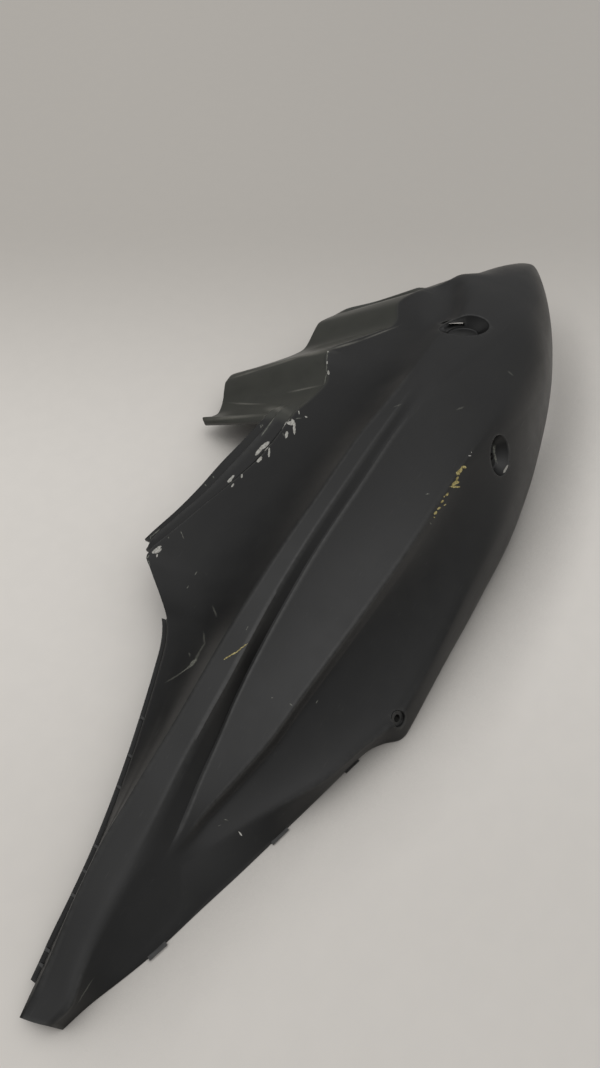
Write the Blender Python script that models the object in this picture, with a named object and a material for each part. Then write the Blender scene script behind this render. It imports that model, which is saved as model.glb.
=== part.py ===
"""Left rear side panel of a scooter: one injection-moulded, painted shell.

The panel lies outer face up, as it rests on a bench. Dimensions are in
millimetres in the panel's own axes (x from the front tip to the tail, y toward
the seat, z up from the bench) and become metres when the mesh is made.

The skin is drawn like a boat hull: nine fore-and-aft lines are faired through a
few control points, and each cross-section is a rounded curve through them.
"""

import bmesh
import bpy
import numpy as np
from mathutils import Matrix, Vector

# ------------------------------------------------------------------ dimensions
LENGTH = 724.0          # front tip to tail, along x
WALL = 2.5              # moulding thickness
CENTRE = (360.25, 38.29)  # middle of the outline in plan, which becomes the origin
PAINT = (0.022, 0.022, 0.023, 1.0)
ROUGHNESS = 0.48

RAIL_START, RAIL_FULL, LEDGE_START, LEDGE_END = 262.0, 271.5, 408.0, 616.0
FLANGE_START, FLANGE_END = 13.0, 225.5
LEG_START, LEG_END = 574.0, 610.0

CLIPS = ((53.0, 65.0), (141.0, 154.0), (202.5, 214.5))      # tongues on the low edge
GUSSETS = (21.4, 28.8, 57.6, 70.8, 84.7, 118.4, 136.9, 160.1)  # webs on the front flange


# Screw seats: origin on the skin, the way out of it, the long direction.
REAR_SEAT = ((535.5, -1.5, 101.0), (0.02, -0.03, 1.0), (0.67, -0.74, 0.0))
SIDE_SEAT = ((453.1, -73.4, 64.4), (-0.06, -0.80, 0.60), (0.70, 0.40, 0.59))
LOW_SEAT = ((246.7, -89.7, 13.6), (-0.17, -0.78, 0.60), (1.0, 0.0, 0.0))
BORE = 3.0  # radius of the screw holes
REAR_BORE = (3.0, -4.6)  # the rear hole stands off the middle of its seat
SLOT = ((-12.0, 4.5, -8.4), (6.5, 15.6, -5.9))  # slit through the far wall of the rear seat


# ------------------------------------------------------------------ fair lines
def fair(*points):
    """A line through control points (x, value, ...) that never overshoots them."""
    p = np.array(points, float)
    x, y = p[:, 0], p[:, 1:]
    h = np.diff(x)[:, None]
    d = np.diff(y, axis=0) / h
    m = np.zeros_like(y)
    m[0], m[-1] = d[0], d[-1]
    w1, w2 = 2 * h[1:] + h[:-1], h[1:] + 2 * h[:-1]
    same = d[:-1] * d[1:] > 0
    weighted = np.where(same, w1 * d[1:] + w2 * d[:-1], 1.0)
    m[1:-1] = np.where(same, (w1 + w2) * d[:-1] * d[1:] / weighted, 0.0)

    def at(q):
        q = float(min(max(q, x[0]), x[-1]))
        k = int(min(max(np.searchsorted(x, q, side="right") - 1, 0), len(x) - 2))
        t = (q - x[k]) / h[k, 0]
        return (
            (2 * t**3 - 3 * t**2 + 1) * y[k]
            + (t**3 - 2 * t**2 + t) * h[k] * m[k]
            + (3 * t**2 - 2 * t**3) * y[k + 1]
            + (t**3 - t**2) * h[k] * m[k + 1]
        )

    return at


def ease(a, b, x):
    t = min(max((x - a) / (b - a), 0.0), 1.0)
    return t * t * (3 - 2 * t)


# Fore-and-aft lines of the skin, as (x, y, z).
LOW_EDGE = fair(
    (-3, -7.5, 0), (13, -12.4, 0), (36, -21, 0), (64, -31, 0), (88, -38.5, 0),
    (117, -48, 0), (148, -57.5, 0), (181, -67.5, 0), (212, -76.5, 0), (222, -80, 0),
    (232, -87, 0), (240, -95.5, 0), (246, -97.5, 0), (266, -98, 0), (301, -98.5, 0),
    (352, -100, 0), (411, -100.5, 0), (472, -96.5, 1), (526, -89.5, 2),
    (569, -82, 4), (622, -66, 6), (655, -51, 9), (688, -31.5, 13), (711, -17, 19),
    (LENGTH, -7, 28),
)
CREASE = fair(
    (100, -18.6, 12), (106, -21, 12.3), (125, -31, 13), (149, -44.3, 14),
    (171, -58, 14.5), (187, -67.5, 15), (215, -78, 15), (247, -89.2, 15.5),
    (276, -91.8, 18), (308, -92.8, 22), (352, -93, 27.5), (400, -94.5, 33),
    (500, -88, 41), (620, -60, 45),
)
STEP_FOOT = fair(
    (100, -14.6, 14.8), (126, -18.4, 17.6), (155, -25.8, 22.2), (185, -33, 28.3),
    (215, -37, 34.8), (256, -43, 43.8), (301, -49.4, 53.6), (336, -53.8, 60.4),
    (380, -57.4, 67.2), (429, -60.5, 73), (500, -64, 78), (620, -50, 80),
)
BLADE_EDGE = fair(
    (100, -12.5, 17.5), (126, -15.5, 24), (155, -22.6, 30), (185, -29.8, 36.5),
    (215, -33.8, 43), (256, -39.8, 52), (301, -46, 62), (336, -50, 69),
    (380, -52.7, 76), (429, -54, 82), (466, -54, 86), (500, -51, 89),
    (620, -38, 88),
)
BLADE_RIM = fair(
    (100, -10.8, 19), (121, -8.9, 26), (145, -5.4, 32), (169, -2.8, 38),
    (194, 0, 45), (220, 1.6, 52), (249, 2.2, 60), (286, 2, 70), (318, 0.8, 78),
    (358, -1.5, 85.5), (421, -3.5, 94), (486, -5, 100), (620, -14, 97),
)
GROOVE = fair(
    (100, -9, 19), (121, -7, 25.4), (145, -3.6, 31.3), (169, -1.2, 37.2),
    (194, 1.7, 44.2), (220, 3.4, 51.3), (249, 4, 59.4), (286, 3.8, 69.4),
    (318, 2.5, 77.3), (358, 0.4, 84.7), (421, -1.6, 93.2), (486, -3, 99.6),
    (620, -10, 97.5),
)
CREST_LOW = fair(
    (-3, -2.5, 9), (9, -7, 12), (25, -3.2, 16), (43, 0, 20), (64, 1.2, 25),
    (85, 1.7, 29.2), (108, 3, 34), (145, 5.8, 42.7), (170, 6.6, 49.8),
    (198, 7.1, 56.5), (225, 8.1, 63.5), (262, 9.3, 71), (301, 8.8, 79.2),
    (336, 7.4, 86), (372, 6, 91.3), (431, 4, 98.4), (500, 4, 102.5), (620, -1, 98),
)
CREST_HIGH = fair(
    (-3, 12, 9), (25, 16, 15), (60, 22.5, 24), (93, 25.5, 31), (112, 25, 35.5),
    (137, 24.5, 42), (164, 24, 48.5), (192, 24.2, 55.5), (217, 24.4, 61.5),
    (250, 23.6, 69.3), (289, 22.5, 77.3), (313, 21.2, 82), (344, 19.6, 87.3),
    (386, 18.4, 93.2), (418, 15, 97), (449, 12.5, 99.8), (500, 10, 102),
    (620, 6, 98),
)
TOP_EDGE = fair(
    (-3, 14, 8), (13, 17, 9), (24, 18.7, 10.6), (32.6, 19.9, 13), (55.6, 22.8, 17),
    (76.6, 25.9, 20.5), (102.9, 31.3, 25), (136.9, 40.3, 29.5), (161.6, 48.1, 32),
    (189.6, 57.9, 34), (212, 66.9, 35.5), (226, 76.5, 36.5), (236, 88, 39.5), (250, 106, 43.5),
    (257, 114, 46), (262, 114, 47), (276, 111, 48), (289, 107.3, 49.3),
    (309, 102.3, 51.3), (327, 97.3, 53), (347, 92, 55), (371, 87, 57.5),
    (395, 85.5, 61), (416, 85, 63.5), (436, 80, 66), (456, 77.5, 68),
    (461, 79, 69.5), (478, 89, 76.5), (484, 88.5, 78), (500, 79, 78.5),
    (522, 63, 80), (533, 56.3, 80.5), (538, 56, 81), (558, 63.3, 84.5),
    (566, 62, 85), (616, 35.5, 84), (636, 31, 66), (657, 25, 56),
    (680, 15, 48), (704, 3, 40), (LENGTH, -6, 33),
)
SPINE = fair(
    (-3, 5, 10), (440, 2, 99.5), (500, 2, 103), (560, -3, 101.5), (612, -7, 94.5),
    (650, -10.5, 86.5), (680, -11.5, 75.5), (704, -10, 59.5), (LENGTH, -6.5, 36),
)

# The seat rail steps down twice; the ledge runs on from its end.
RAIL_MID = fair(
    (257, 119, 44), (262, 118.6, 44), (271, 120.6, 43.5), (295, 116, 46), (319, 110, 48.5),
    (366, 104, 53), (408, 99.5, 57.5),
)
RAIL_OUT = fair(
    (257, 129, 38.5), (274, 127, 40), (307, 120.5, 43), (330, 117.3, 45.5),
    (355, 115.3, 48), (379, 112.2, 50.5), (408, 108.3, 54),
)
# Free edge of the stepped ledge: (x of the section it leaves from, x, y, z).
LEDGE_FREE = fair(
    (408, 413, 172, 14), (416, 418, 177, 15), (424, 423, 172, 14),
    (440, 430, 169, 14), (450, 436, 170, 15), (460, 443, 172, 18),
    (468, 450, 175, 22), (476, 458, 178, 24.5), (484, 465, 178, 25.5),
    (500, 481, 166, 26.5), (533, 527, 138, 27.5), (540, 532, 137.5, 28.5),
    (558, 557, 139.5, 35), (566, 565, 136, 36.5), (616, 607, 100, 40),
)

NOSE_SHARE = (0.0, 0.2, 0.38, 0.55, 0.72, 0.86)
TAIL_SHARE = (0.0, 0.16, 0.32, 0.47, 0.72, 0.80, 0.88, 1.0, 1.5, 2.0)
BLADE_LINES = (None, CREASE, STEP_FOOT, BLADE_EDGE, BLADE_RIM, GROOVE)

# Radius of the rounding on each line, as (x, radius).
ROUNDING = (
    fair((-3, 3), (100, 2.6), (200, 3), (300, 7), (400, 16), (500, 22)),
    fair((-3, 3), (100, 4), (140, 2.5), (200, 2.6), (300, 3.4), (400, 9), (500, 22)),
    fair((-3, 3), (100, 3), (140, 1.7), (250, 1.9), (330, 2.2), (400, 4), (460, 9), (500, 18)),
    fair((-3, 3), (100, 2), (140, 1.2), (250, 1.1), (330, 1.3), (440, 2), (500, 10)),
    fair((-3, 3), (100, 2), (140, 1.1), (250, 1.0), (330, 1.2), (440, 2), (500, 10)),
    fair((-3, 4), (40, 6), (85, 7.5), (125, 3.4), (170, 2.2), (250, 1.8), (440, 2.2), (500, 10)),
    fair((-3, 3), (60, 3.5), (125, 2.6), (250, 1.8), (330, 1.8), (440, 2.4), (500, 10)),
    fair((-3, 10), (500, 18)),
)
# How far each stretch between two lines bows out (+) or in (-), of its length.
BOW = (
    fair((-3, 0.02), (150, 0.03), (300, 0.08), (450, 0.12)),
    fair((-3, 0), (100, 0), (200, -0.05), (330, -0.07), (430, -0.02), (500, 0)),
    fair((-3, 0), (500, 0)),
    fair((-3, 0), (150, 0), (200, -0.02), (260, -0.035), (340, -0.035), (430, -0.01), (500, 0.02)),
    fair((-3, 0), (500, 0)),
    fair((-3, 0), (500, 0)),
    fair((-3, 0), (500, 0)),
    fair((-3, 0), (150, -0.04), (450, -0.05), (560, 0)),
    fair((-3, 0), (150, -0.02), (450, -0.02), (560, 0)),
)
# The dip's line over the skin, its half widths on either side, and its depth at either end.
DIP = ((603.0, 37.0), (538.0, 12.0))
DIP_WIDTH = (11.0, 15.0)
DIP_DEPTH = (7.0, 5.5)
STRETCHES = len(BOW)
DENSE = 24  # points worked out on each stretch before the mesh picks from them


def nose_profile(q):
    return 0.9 * q + 0.1 * q**3


def hollow_beside_ledge(x, y):
    """How far the skin dips between the ledge's rear corner and the rear seat."""
    (x0, y0), (x1, y1) = DIP
    across = ((x - x0) * (y1 - y0) - (y - y0) * (x1 - x0)) / np.hypot(x1 - x0, y1 - y0)
    along = ((x - x0) * (x1 - x0) + (y - y0) * (y1 - y0)) / ((x1 - x0) ** 2 + (y1 - y0) ** 2)
    steep = np.where(across < 0, DIP_WIDTH[0], DIP_WIDTH[1])
    ends = 1 / (1 + np.exp(-(along - 0.06) / 0.06)) / (1 + np.exp((along - 0.98) / 0.09))
    depth = DIP_DEPTH[0] + (DIP_DEPTH[1] - DIP_DEPTH[0]) * np.clip(along, 0, 1)
    return depth * np.exp(-np.abs(across / steep) ** 2.6) * ends


def feature_points(x):
    """The ten points (y, z) of the section at x, from the low edge to the top edge."""
    low, crest_low, crest_high, top = LOW_EDGE(x), CREST_LOW(x), CREST_HIGH(x), TOP_EDGE(x)
    blade = ease(78, 104, x)
    points = []
    for q, own in zip(NOSE_SHARE, BLADE_LINES):
        # ahead of the blade the face is nearly flat, and the blade swells out of it
        rise = crest_low - low
        plain = low + rise * np.array([q, nose_profile(q)])
        if own is not None:
            swollen = own(x)
            share = (swollen[0] - low[0]) / rise[0]
            flush = low[1] + rise[1] * nose_profile(share)
            swollen = np.array([swollen[0], flush + (swollen[1] - flush) * ease(94, 122, x)])
            plain = plain * (1 - blade) + swollen * blade
        points.append(plain)
    span = top - crest_high
    sag = 0.10 * ease(20, 200, x) * (1 - ease(480, 600, x))
    middle = crest_high + 0.5 * span - np.array([0.0, sag * abs(span[0])])
    return np.array(points + [crest_low, crest_high, middle, top])


def spread(points, shares):
    """Points at these shares of the curve's length."""
    s = np.concatenate([[0], np.cumsum(np.linalg.norm(np.diff(points, axis=0), axis=1))])
    return np.stack([np.interp(shares * s[-1], s, points[:, k]) for k in (0, 1)], 1)


def tail_section(x):
    """The tail's smooth bulging section, up from the low edge, over and down to the top edge."""
    low, spine, top = LOW_EDGE(x), SPINE(x), TOP_EDGE(x)
    a = np.linspace(0, np.pi / 2, 120)
    e = 2 / (2.15 - 0.25 * ease(650, LENGTH, x))
    outer = np.stack(
        [
            low[0] + (spine[0] - low[0]) * (1 - np.cos(a) ** e),
            low[1] + (spine[1] - low[1]) * np.sin(a) ** e,
        ],
        1,
    )
    inner = np.stack(
        [
            spine[0] + (top[0] - spine[0]) * np.sin(a),
            top[1] + (spine[1] - top[1]) * np.cos(a),
        ],
        1,
    )
    shares = np.concatenate(
        [
            np.linspace(TAIL_SHARE[k], TAIL_SHARE[k + 1], DENSE, endpoint=False)
            for k in range(STRETCHES)
        ]
        + [[2.0]]
    )
    on_outer = shares <= 1.0
    return np.concatenate([spread(outer, shares[on_outer]), spread(inner, shares[~on_outer] - 1.0)])


def section(x):
    """The rounded section at x, as DENSE points on each stretch."""
    f = feature_points(x)
    rows = []
    for k in range(STRETCHES):
        t = np.linspace(0, 1, DENSE, endpoint=False)[:, None]
        along = f[k + 1] - f[k]
        out = np.array([-abs(along[1]), abs(along[0])]) if k < 3 else np.array([-along[1], along[0]])
        if out[1] < 0:
            out = -out
        rows.append(f[k] + along * t + out * (4 * t * (1 - t)) * float(BOW[k](x)[0]))
    points = np.concatenate(rows + [f[-1:]])
    s = np.concatenate([[0], np.cumsum(np.linalg.norm(np.diff(points, axis=0), axis=1))])
    radii = [float(r(x)[0]) for r in ROUNDING]
    knots = s[::DENSE]
    width = np.interp(s, knots, [radii[0]] + radii + [radii[-1]]) * 0.55
    # an edge keeps its place, so the rounding dies out toward both ends
    width = np.minimum(width, np.maximum(np.minimum(s, s[-1] - s) * 0.45, 0.02))
    long_s = np.concatenate([-s[1:][::-1], s, 2 * s[-1] - s[:-1][::-1]])
    long_p = np.concatenate(
        [2 * points[0] - points[1:][::-1], points, 2 * points[-1] - points[:-1][::-1]]
    )
    weight = np.exp(-((long_s[None] - s[:, None]) ** 2) / (2 * width[:, None] ** 2))
    weight *= np.gradient(long_s)[None]
    rounded = (weight @ long_p) / weight.sum(1)[:, None]
    lower, upper = ease(400, 600, x), ease(545, 612, x)
    if lower > 0 or upper > 0:
        at = np.linspace(0, 1, len(rounded))
        mix = np.interp(at, [0, 0.55, 0.75, 1.0], [lower, lower, upper, upper])[:, None]
        rounded = rounded * (1 - mix) + tail_section(x) * mix
    rounded[:, 1] -= hollow_beside_ledge(x, rounded[:, 0])
    return rounded


def skin_row(x, picks):
    """Points (x, y, z) of the skin's section; the front end is cut on a slant and bulges a little."""
    yz = section(x)[picks]
    share = 1 - (yz[:, 0] - yz[0, 0]) / max(yz[-1, 0] - yz[0, 0], 1e-6)
    share = np.clip(share, 0, 1)
    slant = 6.5 * (1 - ease(-3, 60, x)) * share
    bulge = (0.5 + 3.0 * share * (1 - share)) * (1 - ease(-3, 45, x))
    return np.column_stack([x + slant - bulge, yz])


def flange_row(x):
    """Rim flange at the front: a small step down and a narrow strip."""
    y, z = TOP_EDGE(x)
    return [(x, y + 0.9, z - 2.2), (x, y + 1.6, z - 2.4), (x, y + 4.6, z - 3.0)]


def rail_row(x):
    """The seat rail: two steps down from the skin's top edge."""
    top, middle, out = TOP_EDGE(x), RAIL_MID(x), RAIL_OUT(x)
    first = top + (middle - top) * np.array([0.16, 0.8])
    second = middle + (out - middle) * np.array([0.16, 0.8])
    reach = 2 if x < RAIL_FULL else 4  # the outer step starts a little later
    return [(x, *p) for p in (first, middle, second, out)][:reach]


def ledge_row(x, shares):
    """The stepped ledge: from the skin's top edge out to its free edge."""
    start = np.array([x, *TOP_EDGE(x)])
    end = LEDGE_FREE(x)
    near = (0.045, 0.165, 0.20, 0.262)
    rail = np.array(rail_row(min(x, LEDGE_START)))
    rail[:, 0] = x
    rail[:, 1:] += TOP_EDGE(x) - TOP_EDGE(LEDGE_START)
    stepped = 1 - ease(LEDGE_START, LEDGE_START + 30, x)
    rows = []
    for q, share in enumerate(list(near) + list(shares)):
        p = start + (end - start) * share
        if q < 4:
            p = p * (1 - stepped) + rail[q] * stepped
        # upturned lip round the rear corner
        lip = max(ease(603, 610, x), ease(0.88, 0.95, share) * ease(572, 588, x))
        p = p + np.array([0, 0, 3.5 * lip * ease(0.35, 0.5, share)])
        rows.append(tuple(p))
    return rows


# ------------------------------------------------------------------ mesh helpers
def to_frame(p):
    return Vector(((p[0] - CENTRE[0]) / 1000, (p[1] - CENTRE[1]) / 1000, p[2] / 1000))


def make_object(name, bm, helper=False):
    mesh = bpy.data.meshes.new(name)
    bm.to_mesh(mesh)
    bm.free()
    obj = bpy.data.objects.new(name, mesh)
    bpy.context.scene.collection.objects.link(obj)
    if helper:
        obj.hide_render = True
        obj.display_type = "WIRE"
    return obj


def closed_mesh(bm):
    bmesh.ops.remove_doubles(bm, verts=bm.verts, dist=1e-7)
    bmesh.ops.recalc_face_normals(bm, faces=bm.faces)
    return bm


def loft(bm, axis, rings):
    """A closed solid through ovals (height, half length, half width, slide) up a slanted axis."""
    made = [
        [bm.verts.new(axis @ Vector((a + slide, b, height))) for a, b in oval(long, short)]
        for height, long, short, slide in rings
    ]
    n = len(made[0])
    for lower, upper in zip(made[:-1], made[1:]):
        for i in range(n):
            j = (i + 1) % n
            bm.faces.new((lower[i], lower[j], upper[j], upper[i]))
    bm.faces.new(made[-1])
    bm.faces.new(made[0][::-1])


def block(bm, axis, low, high):
    """A box between two corners, in the axes given."""
    corners = [
        bm.verts.new(axis @ Vector((x, y, z)))
        for z in (low[2], high[2])
        for x, y in ((low[0], low[1]), (high[0], low[1]), (high[0], high[1]), (low[0], high[1]))
    ]
    for face in ((3, 2, 1, 0), (4, 5, 6, 7), (0, 1, 5, 4), (1, 2, 6, 5), (2, 3, 7, 6), (3, 0, 4, 7)):
        bm.faces.new([corners[k] for k in face])


def oval(a, b, n=20, power=2.0):
    """Points round an oval with half axes a and b."""
    out = []
    for k in range(n):
        t = 2 * np.pi * k / n
        c, s = np.cos(t), np.sin(t)
        out.append((a * np.sign(c) * abs(c) ** (2 / power), b * np.sign(s) * abs(s) ** (2 / power)))
    return out


def aligned(origin, up, toward):
    """Millimetre axes: z along up, x as near as it can be to toward."""
    z = Vector(up).normalized()
    x = Vector(toward)
    x = (x - z * x.dot(z)).normalized()
    y = z.cross(x)
    m = Matrix((x, y, z)).transposed().to_4x4() * 0.001
    m[3][3] = 1.0
    m.translation = to_frame(origin)
    return m


def to_rear(offset):
    """A point of the rear seat's plane, by its two offsets."""
    origin, up, toward = (Vector(v) for v in REAR_SEAT)
    z = up.normalized()
    x = (toward - z * toward.dot(z)).normalized()
    return origin + x * offset[0] + z.cross(x) * offset[1]


def boolean(obj, other, operation):
    m = obj.modifiers.new(other.name, "BOOLEAN")
    m.operation = operation
    m.solver = "EXACT"
    m.object = other


# ------------------------------------------------------------------ the panel
def stations():
    front = [-3, 5, 13, 24, 36, 50, 64, 80, 92, 100, 108, 120, 135, 150, 166, 184, 200, 213, FLANGE_END]
    middle = [233, 241, 249, 256, RAIL_START, RAIL_FULL, 281, 294, 312, 332, 354, 376, 394, LEDGE_START]
    ledge = [416, 426, 440, 450, 460, 469, 477, 484, 500, 516, 533, 540, 549, 558, 566, 574, 588, 602, 610, 616]
    rest = LENGTH - 616
    tail = [LENGTH - rest * (1 - k / 10) ** 1.7 for k in range(1, 11)]
    return front + middle + ledge + tail


def picked_columns():
    """Which of the dense points the mesh keeps: more of them by the tight roundings."""
    shares = (
        (0, 0.33, 0.7), (0, 0.3, 0.65), (0, 0.5), (0, 0.14, 0.5, 0.86),
        (0, 0.5), (0, 0.5), (0, 0.5), (0, 0.2, 0.6), (0, 0.5),
    )
    picks = [round((k + s) * DENSE) for k, row in enumerate(shares) for s in row]
    return picks + [STRETCHES * DENSE]


def panel_surface():
    """The open outer surface: the skin, and the flange, rail, ledge and leg along its top edge."""
    bm = bmesh.new()
    picks = picked_columns()
    ledge_shares = (0.45, 0.65, 0.83, 0.9, 1.0)
    xs = stations()
    skin, edge = [], []
    for x in xs:
        skin.append([bm.verts.new(to_frame(p)) for p in skin_row(x, picks)])
        strip = []
        if FLANGE_START <= x <= FLANGE_END:
            strip = flange_row(x)
        elif RAIL_START <= x < LEDGE_START:
            strip = rail_row(x)
        elif LEDGE_START <= x <= LEDGE_END:
            strip = ledge_row(x, ledge_shares)
            if LEG_START <= x <= LEG_END:
                foot = np.array(strip[-1])
                strip = strip + [tuple(foot + (0, 1.5, -0.45 * foot[2])), (foot[0], foot[1] + 3, 0.0)]
        edge.append([skin[-1][-1]] + [bm.verts.new(to_frame(p)) for p in strip])
    for a, b in zip(skin[:-1], skin[1:]):
        for j in range(len(a) - 1):
            bm.faces.new((a[j], b[j], b[j + 1], a[j + 1]))
    for i in range(len(xs) - 1):
        x0, x1 = xs[i], xs[i + 1]
        # the flange stops short of the notch, and the rail starts after it
        if x1 > FLANGE_END and x0 < RAIL_START:
            continue
        for j in range(min(len(edge[i]), len(edge[i + 1])) - 1):
            bm.faces.new((edge[i][j], edge[i + 1][j], edge[i + 1][j + 1], edge[i][j + 1]))
    loose = [v for v in bm.verts if not v.link_faces]
    bmesh.ops.delete(bm, geom=loose, context="VERTS")
    bmesh.ops.recalc_face_normals(bm, faces=bm.faces)
    if sum(f.normal.z for f in bm.faces) < 0:
        bmesh.ops.reverse_faces(bm, faces=bm.faces)
    return bm


def main():
    for obj in list(bpy.data.objects):
        bpy.data.objects.remove(obj, do_unlink=True)

    panel = make_object("side_panel", panel_surface())
    wall = panel.modifiers.new("wall", "SOLIDIFY")
    wall.thickness = WALL / 1000
    wall.offset = -1
    wall.use_even_offset = True
    wall.use_rim = True

    # a slab under the bench level trims the edges that stand on it flat
    bm = bmesh.new()
    bmesh.ops.create_cube(bm, size=1.0)
    bmesh.ops.scale(bm, vec=(1.2, 0.6, 0.02), verts=bm.verts)
    bmesh.ops.translate(bm, vec=(0, 0, -0.01), verts=bm.verts)
    boolean(panel, make_object("bench_trim", bm, helper=True), "DIFFERENCE")

    # screw seats: each is a cup moulded behind the skin, opened from the front
    rear, side, low = (aligned(*seat) for seat in (REAR_SEAT, SIDE_SEAT, LOW_SEAT))
    cups = bmesh.new()
    loft(cups, rear, ((-12.5, 15.5, 10.5, 2.0), (-1.2, 22.5, 15.8, 2.0)))
    rear_cup = make_object("rear_seat_cup", closed_mesh(cups), helper=True)
    cups = bmesh.new()
    loft(cups, side, ((-13.0, 13.0, 9.4, 0), (-2.2, 17.6, 13.6, 0)))
    side_cup = make_object("side_seat_cup", closed_mesh(cups), helper=True)
    cups = bmesh.new()
    loft(cups, low, ((-6.5, 6.0, 6.0, 0), (-1.2, 7.0, 7.0, 0)))
    low_cup = make_object("low_seat_cup", closed_mesh(cups), helper=True)
    for cup in (rear_cup, side_cup, low_cup):
        boolean(panel, cup, "UNION")

    cuts = bmesh.new()
    loft(cuts, rear, ((-10.0, 13.0, 8.2, 2.0), (-3.0, 18.3, 11.7, 2.0), (0.3, 21.2, 13.6, 2.0), (8.0, 24.0, 16.5, 2.0)))
    loft(cuts, side, ((-10.5, 10.4, 7.0, 0), (-3.0, 13.2, 9.4, 0), (0.4, 16.3, 12.2, 0), (8.0, 19.5, 15.2, 0)))
    loft(cuts, low, ((-1.6, 5.2, 5.2, 0), (0.2, 6.0, 6.0, 0), (4.0, 7.0, 7.0, 0)))
    boolean(panel, make_object("seat_cuts", closed_mesh(cuts), helper=True), "DIFFERENCE")

    bores = bmesh.new()
    bored = aligned(to_rear(REAR_BORE), REAR_SEAT[1], REAR_SEAT[2])
    loft(bores, bored, ((-20.0, BORE, BORE, 0), (-5.0, BORE, BORE, 0)))
    loft(bores, side, ((-20.0, BORE, BORE, 0), (-5.0, BORE, BORE, 0)))
    loft(bores, low, ((-12.0, 2.6, 2.6, 0), (3.0, 2.6, 2.6, 0)))
    boolean(panel, make_object("seat_bores", closed_mesh(bores), helper=True), "DIFFERENCE")
    slot = bmesh.new()
    block(slot, rear, SLOT[0], SLOT[1])
    boolean(panel, make_object("rear_seat_slot", closed_mesh(slot), helper=True), "DIFFERENCE")

    # tongues that clip under the neighbouring panel, and webs on the front flange
    for k, (a, b) in enumerate(CLIPS):
        (y0, _), (y1, _) = LOW_EDGE(a), LOW_EDGE(b)
        along = Vector((b - a, y1 - y0, 0)).normalized()
        tongue = aligned(((a + b) / 2, (y0 + y1) / 2, 0), (0, 0, 1), along)
        bm = bmesh.new()
        half = (b - a) / 2
        block(bm, tongue, (-half, -1.3, 0.0), (half, 1.5, 0.9))
        boolean(panel, make_object(f"clip_tongue_{k + 1}", closed_mesh(bm), helper=True), "UNION")
    bm = bmesh.new()
    for x in GUSSETS:
        y, z = TOP_EDGE(x)
        web = aligned((x, y, z), (0, 0, 1), (1, 0, 0))
        block(bm, web, (-0.8, -1.2, -3.4), (0.8, 3.6, -1.3))
    boolean(panel, make_object("flange_webs", closed_mesh(bm), helper=True), "UNION")

    paint = bpy.data.materials.new("painted_black")
    paint.use_nodes = True
    shader = paint.node_tree.nodes["Principled BSDF"]
    shader.inputs["Base Color"].default_value = PAINT
    shader.inputs["Roughness"].default_value = ROUGHNESS
    shader.inputs["Metallic"].default_value = 0.0
    panel.data.materials.append(paint)
    panel.data.shade_smooth()
    panel.data.set_sharp_from_angle(angle=np.radians(38))


main()
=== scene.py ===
"""Looks of the scooter side panel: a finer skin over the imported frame, worn black paint, studio light."""

import bmesh
import bpy
import numpy as np
from mathutils import Matrix, Vector
from mathutils.bvhtree import BVHTree


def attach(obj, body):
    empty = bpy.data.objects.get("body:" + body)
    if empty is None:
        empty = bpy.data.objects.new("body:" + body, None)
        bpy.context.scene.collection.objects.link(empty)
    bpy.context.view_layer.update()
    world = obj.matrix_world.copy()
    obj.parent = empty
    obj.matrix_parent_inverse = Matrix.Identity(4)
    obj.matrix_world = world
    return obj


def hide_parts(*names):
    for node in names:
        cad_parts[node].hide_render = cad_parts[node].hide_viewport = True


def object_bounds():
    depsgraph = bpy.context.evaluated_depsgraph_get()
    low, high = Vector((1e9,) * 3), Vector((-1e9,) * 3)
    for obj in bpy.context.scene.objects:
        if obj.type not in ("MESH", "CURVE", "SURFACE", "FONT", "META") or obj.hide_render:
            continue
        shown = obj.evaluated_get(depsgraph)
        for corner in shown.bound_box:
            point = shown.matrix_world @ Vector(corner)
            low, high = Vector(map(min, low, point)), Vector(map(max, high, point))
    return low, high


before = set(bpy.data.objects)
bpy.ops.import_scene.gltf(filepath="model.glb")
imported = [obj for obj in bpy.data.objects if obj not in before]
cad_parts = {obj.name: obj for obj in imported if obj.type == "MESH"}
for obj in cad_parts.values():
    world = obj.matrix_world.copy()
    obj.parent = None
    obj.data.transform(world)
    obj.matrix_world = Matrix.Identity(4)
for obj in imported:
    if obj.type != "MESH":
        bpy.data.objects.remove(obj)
cad_box = [list(corner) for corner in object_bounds()]

# ------------------------------------------------------------------ the panel's dimensions, in its own millimetres
LENGTH = 724.0          # front tip to tail, along x
WALL = 2.5              # moulding thickness
CENTRE = (360.25, 38.29)  # middle of the outline in plan, which becomes the origin

RAIL_START, RAIL_FULL, LEDGE_START, LEDGE_END = 262.0, 271.5, 408.0, 616.0
FLANGE_START, FLANGE_END = 13.0, 225.5
LEG_START, LEG_END = 574.0, 610.0

CLIPS = ((53.0, 65.0), (141.0, 154.0), (202.5, 214.5))      # tongues on the low edge
GUSSETS = (21.4, 28.8, 57.6, 70.8, 84.7, 118.4, 136.9, 160.1)  # webs on the front flange


# Screw seats: origin on the skin, the way out of it, the long direction.
REAR_SEAT = ((535.5, -1.5, 101.0), (0.02, -0.03, 1.0), (0.67, -0.74, 0.0))
SIDE_SEAT = ((453.1, -73.4, 64.4), (-0.06, -0.80, 0.60), (0.70, 0.40, 0.59))
LOW_SEAT = ((246.7, -89.7, 13.6), (-0.17, -0.78, 0.60), (1.0, 0.0, 0.0))
BORE = 3.0  # radius of the screw holes
REAR_BORE = (3.0, -4.6)  # the rear hole stands off the middle of its seat
SLOT = ((-12.0, 4.5, -8.4), (6.5, 15.6, -5.9))  # slit through the far wall of the rear seat


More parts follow.
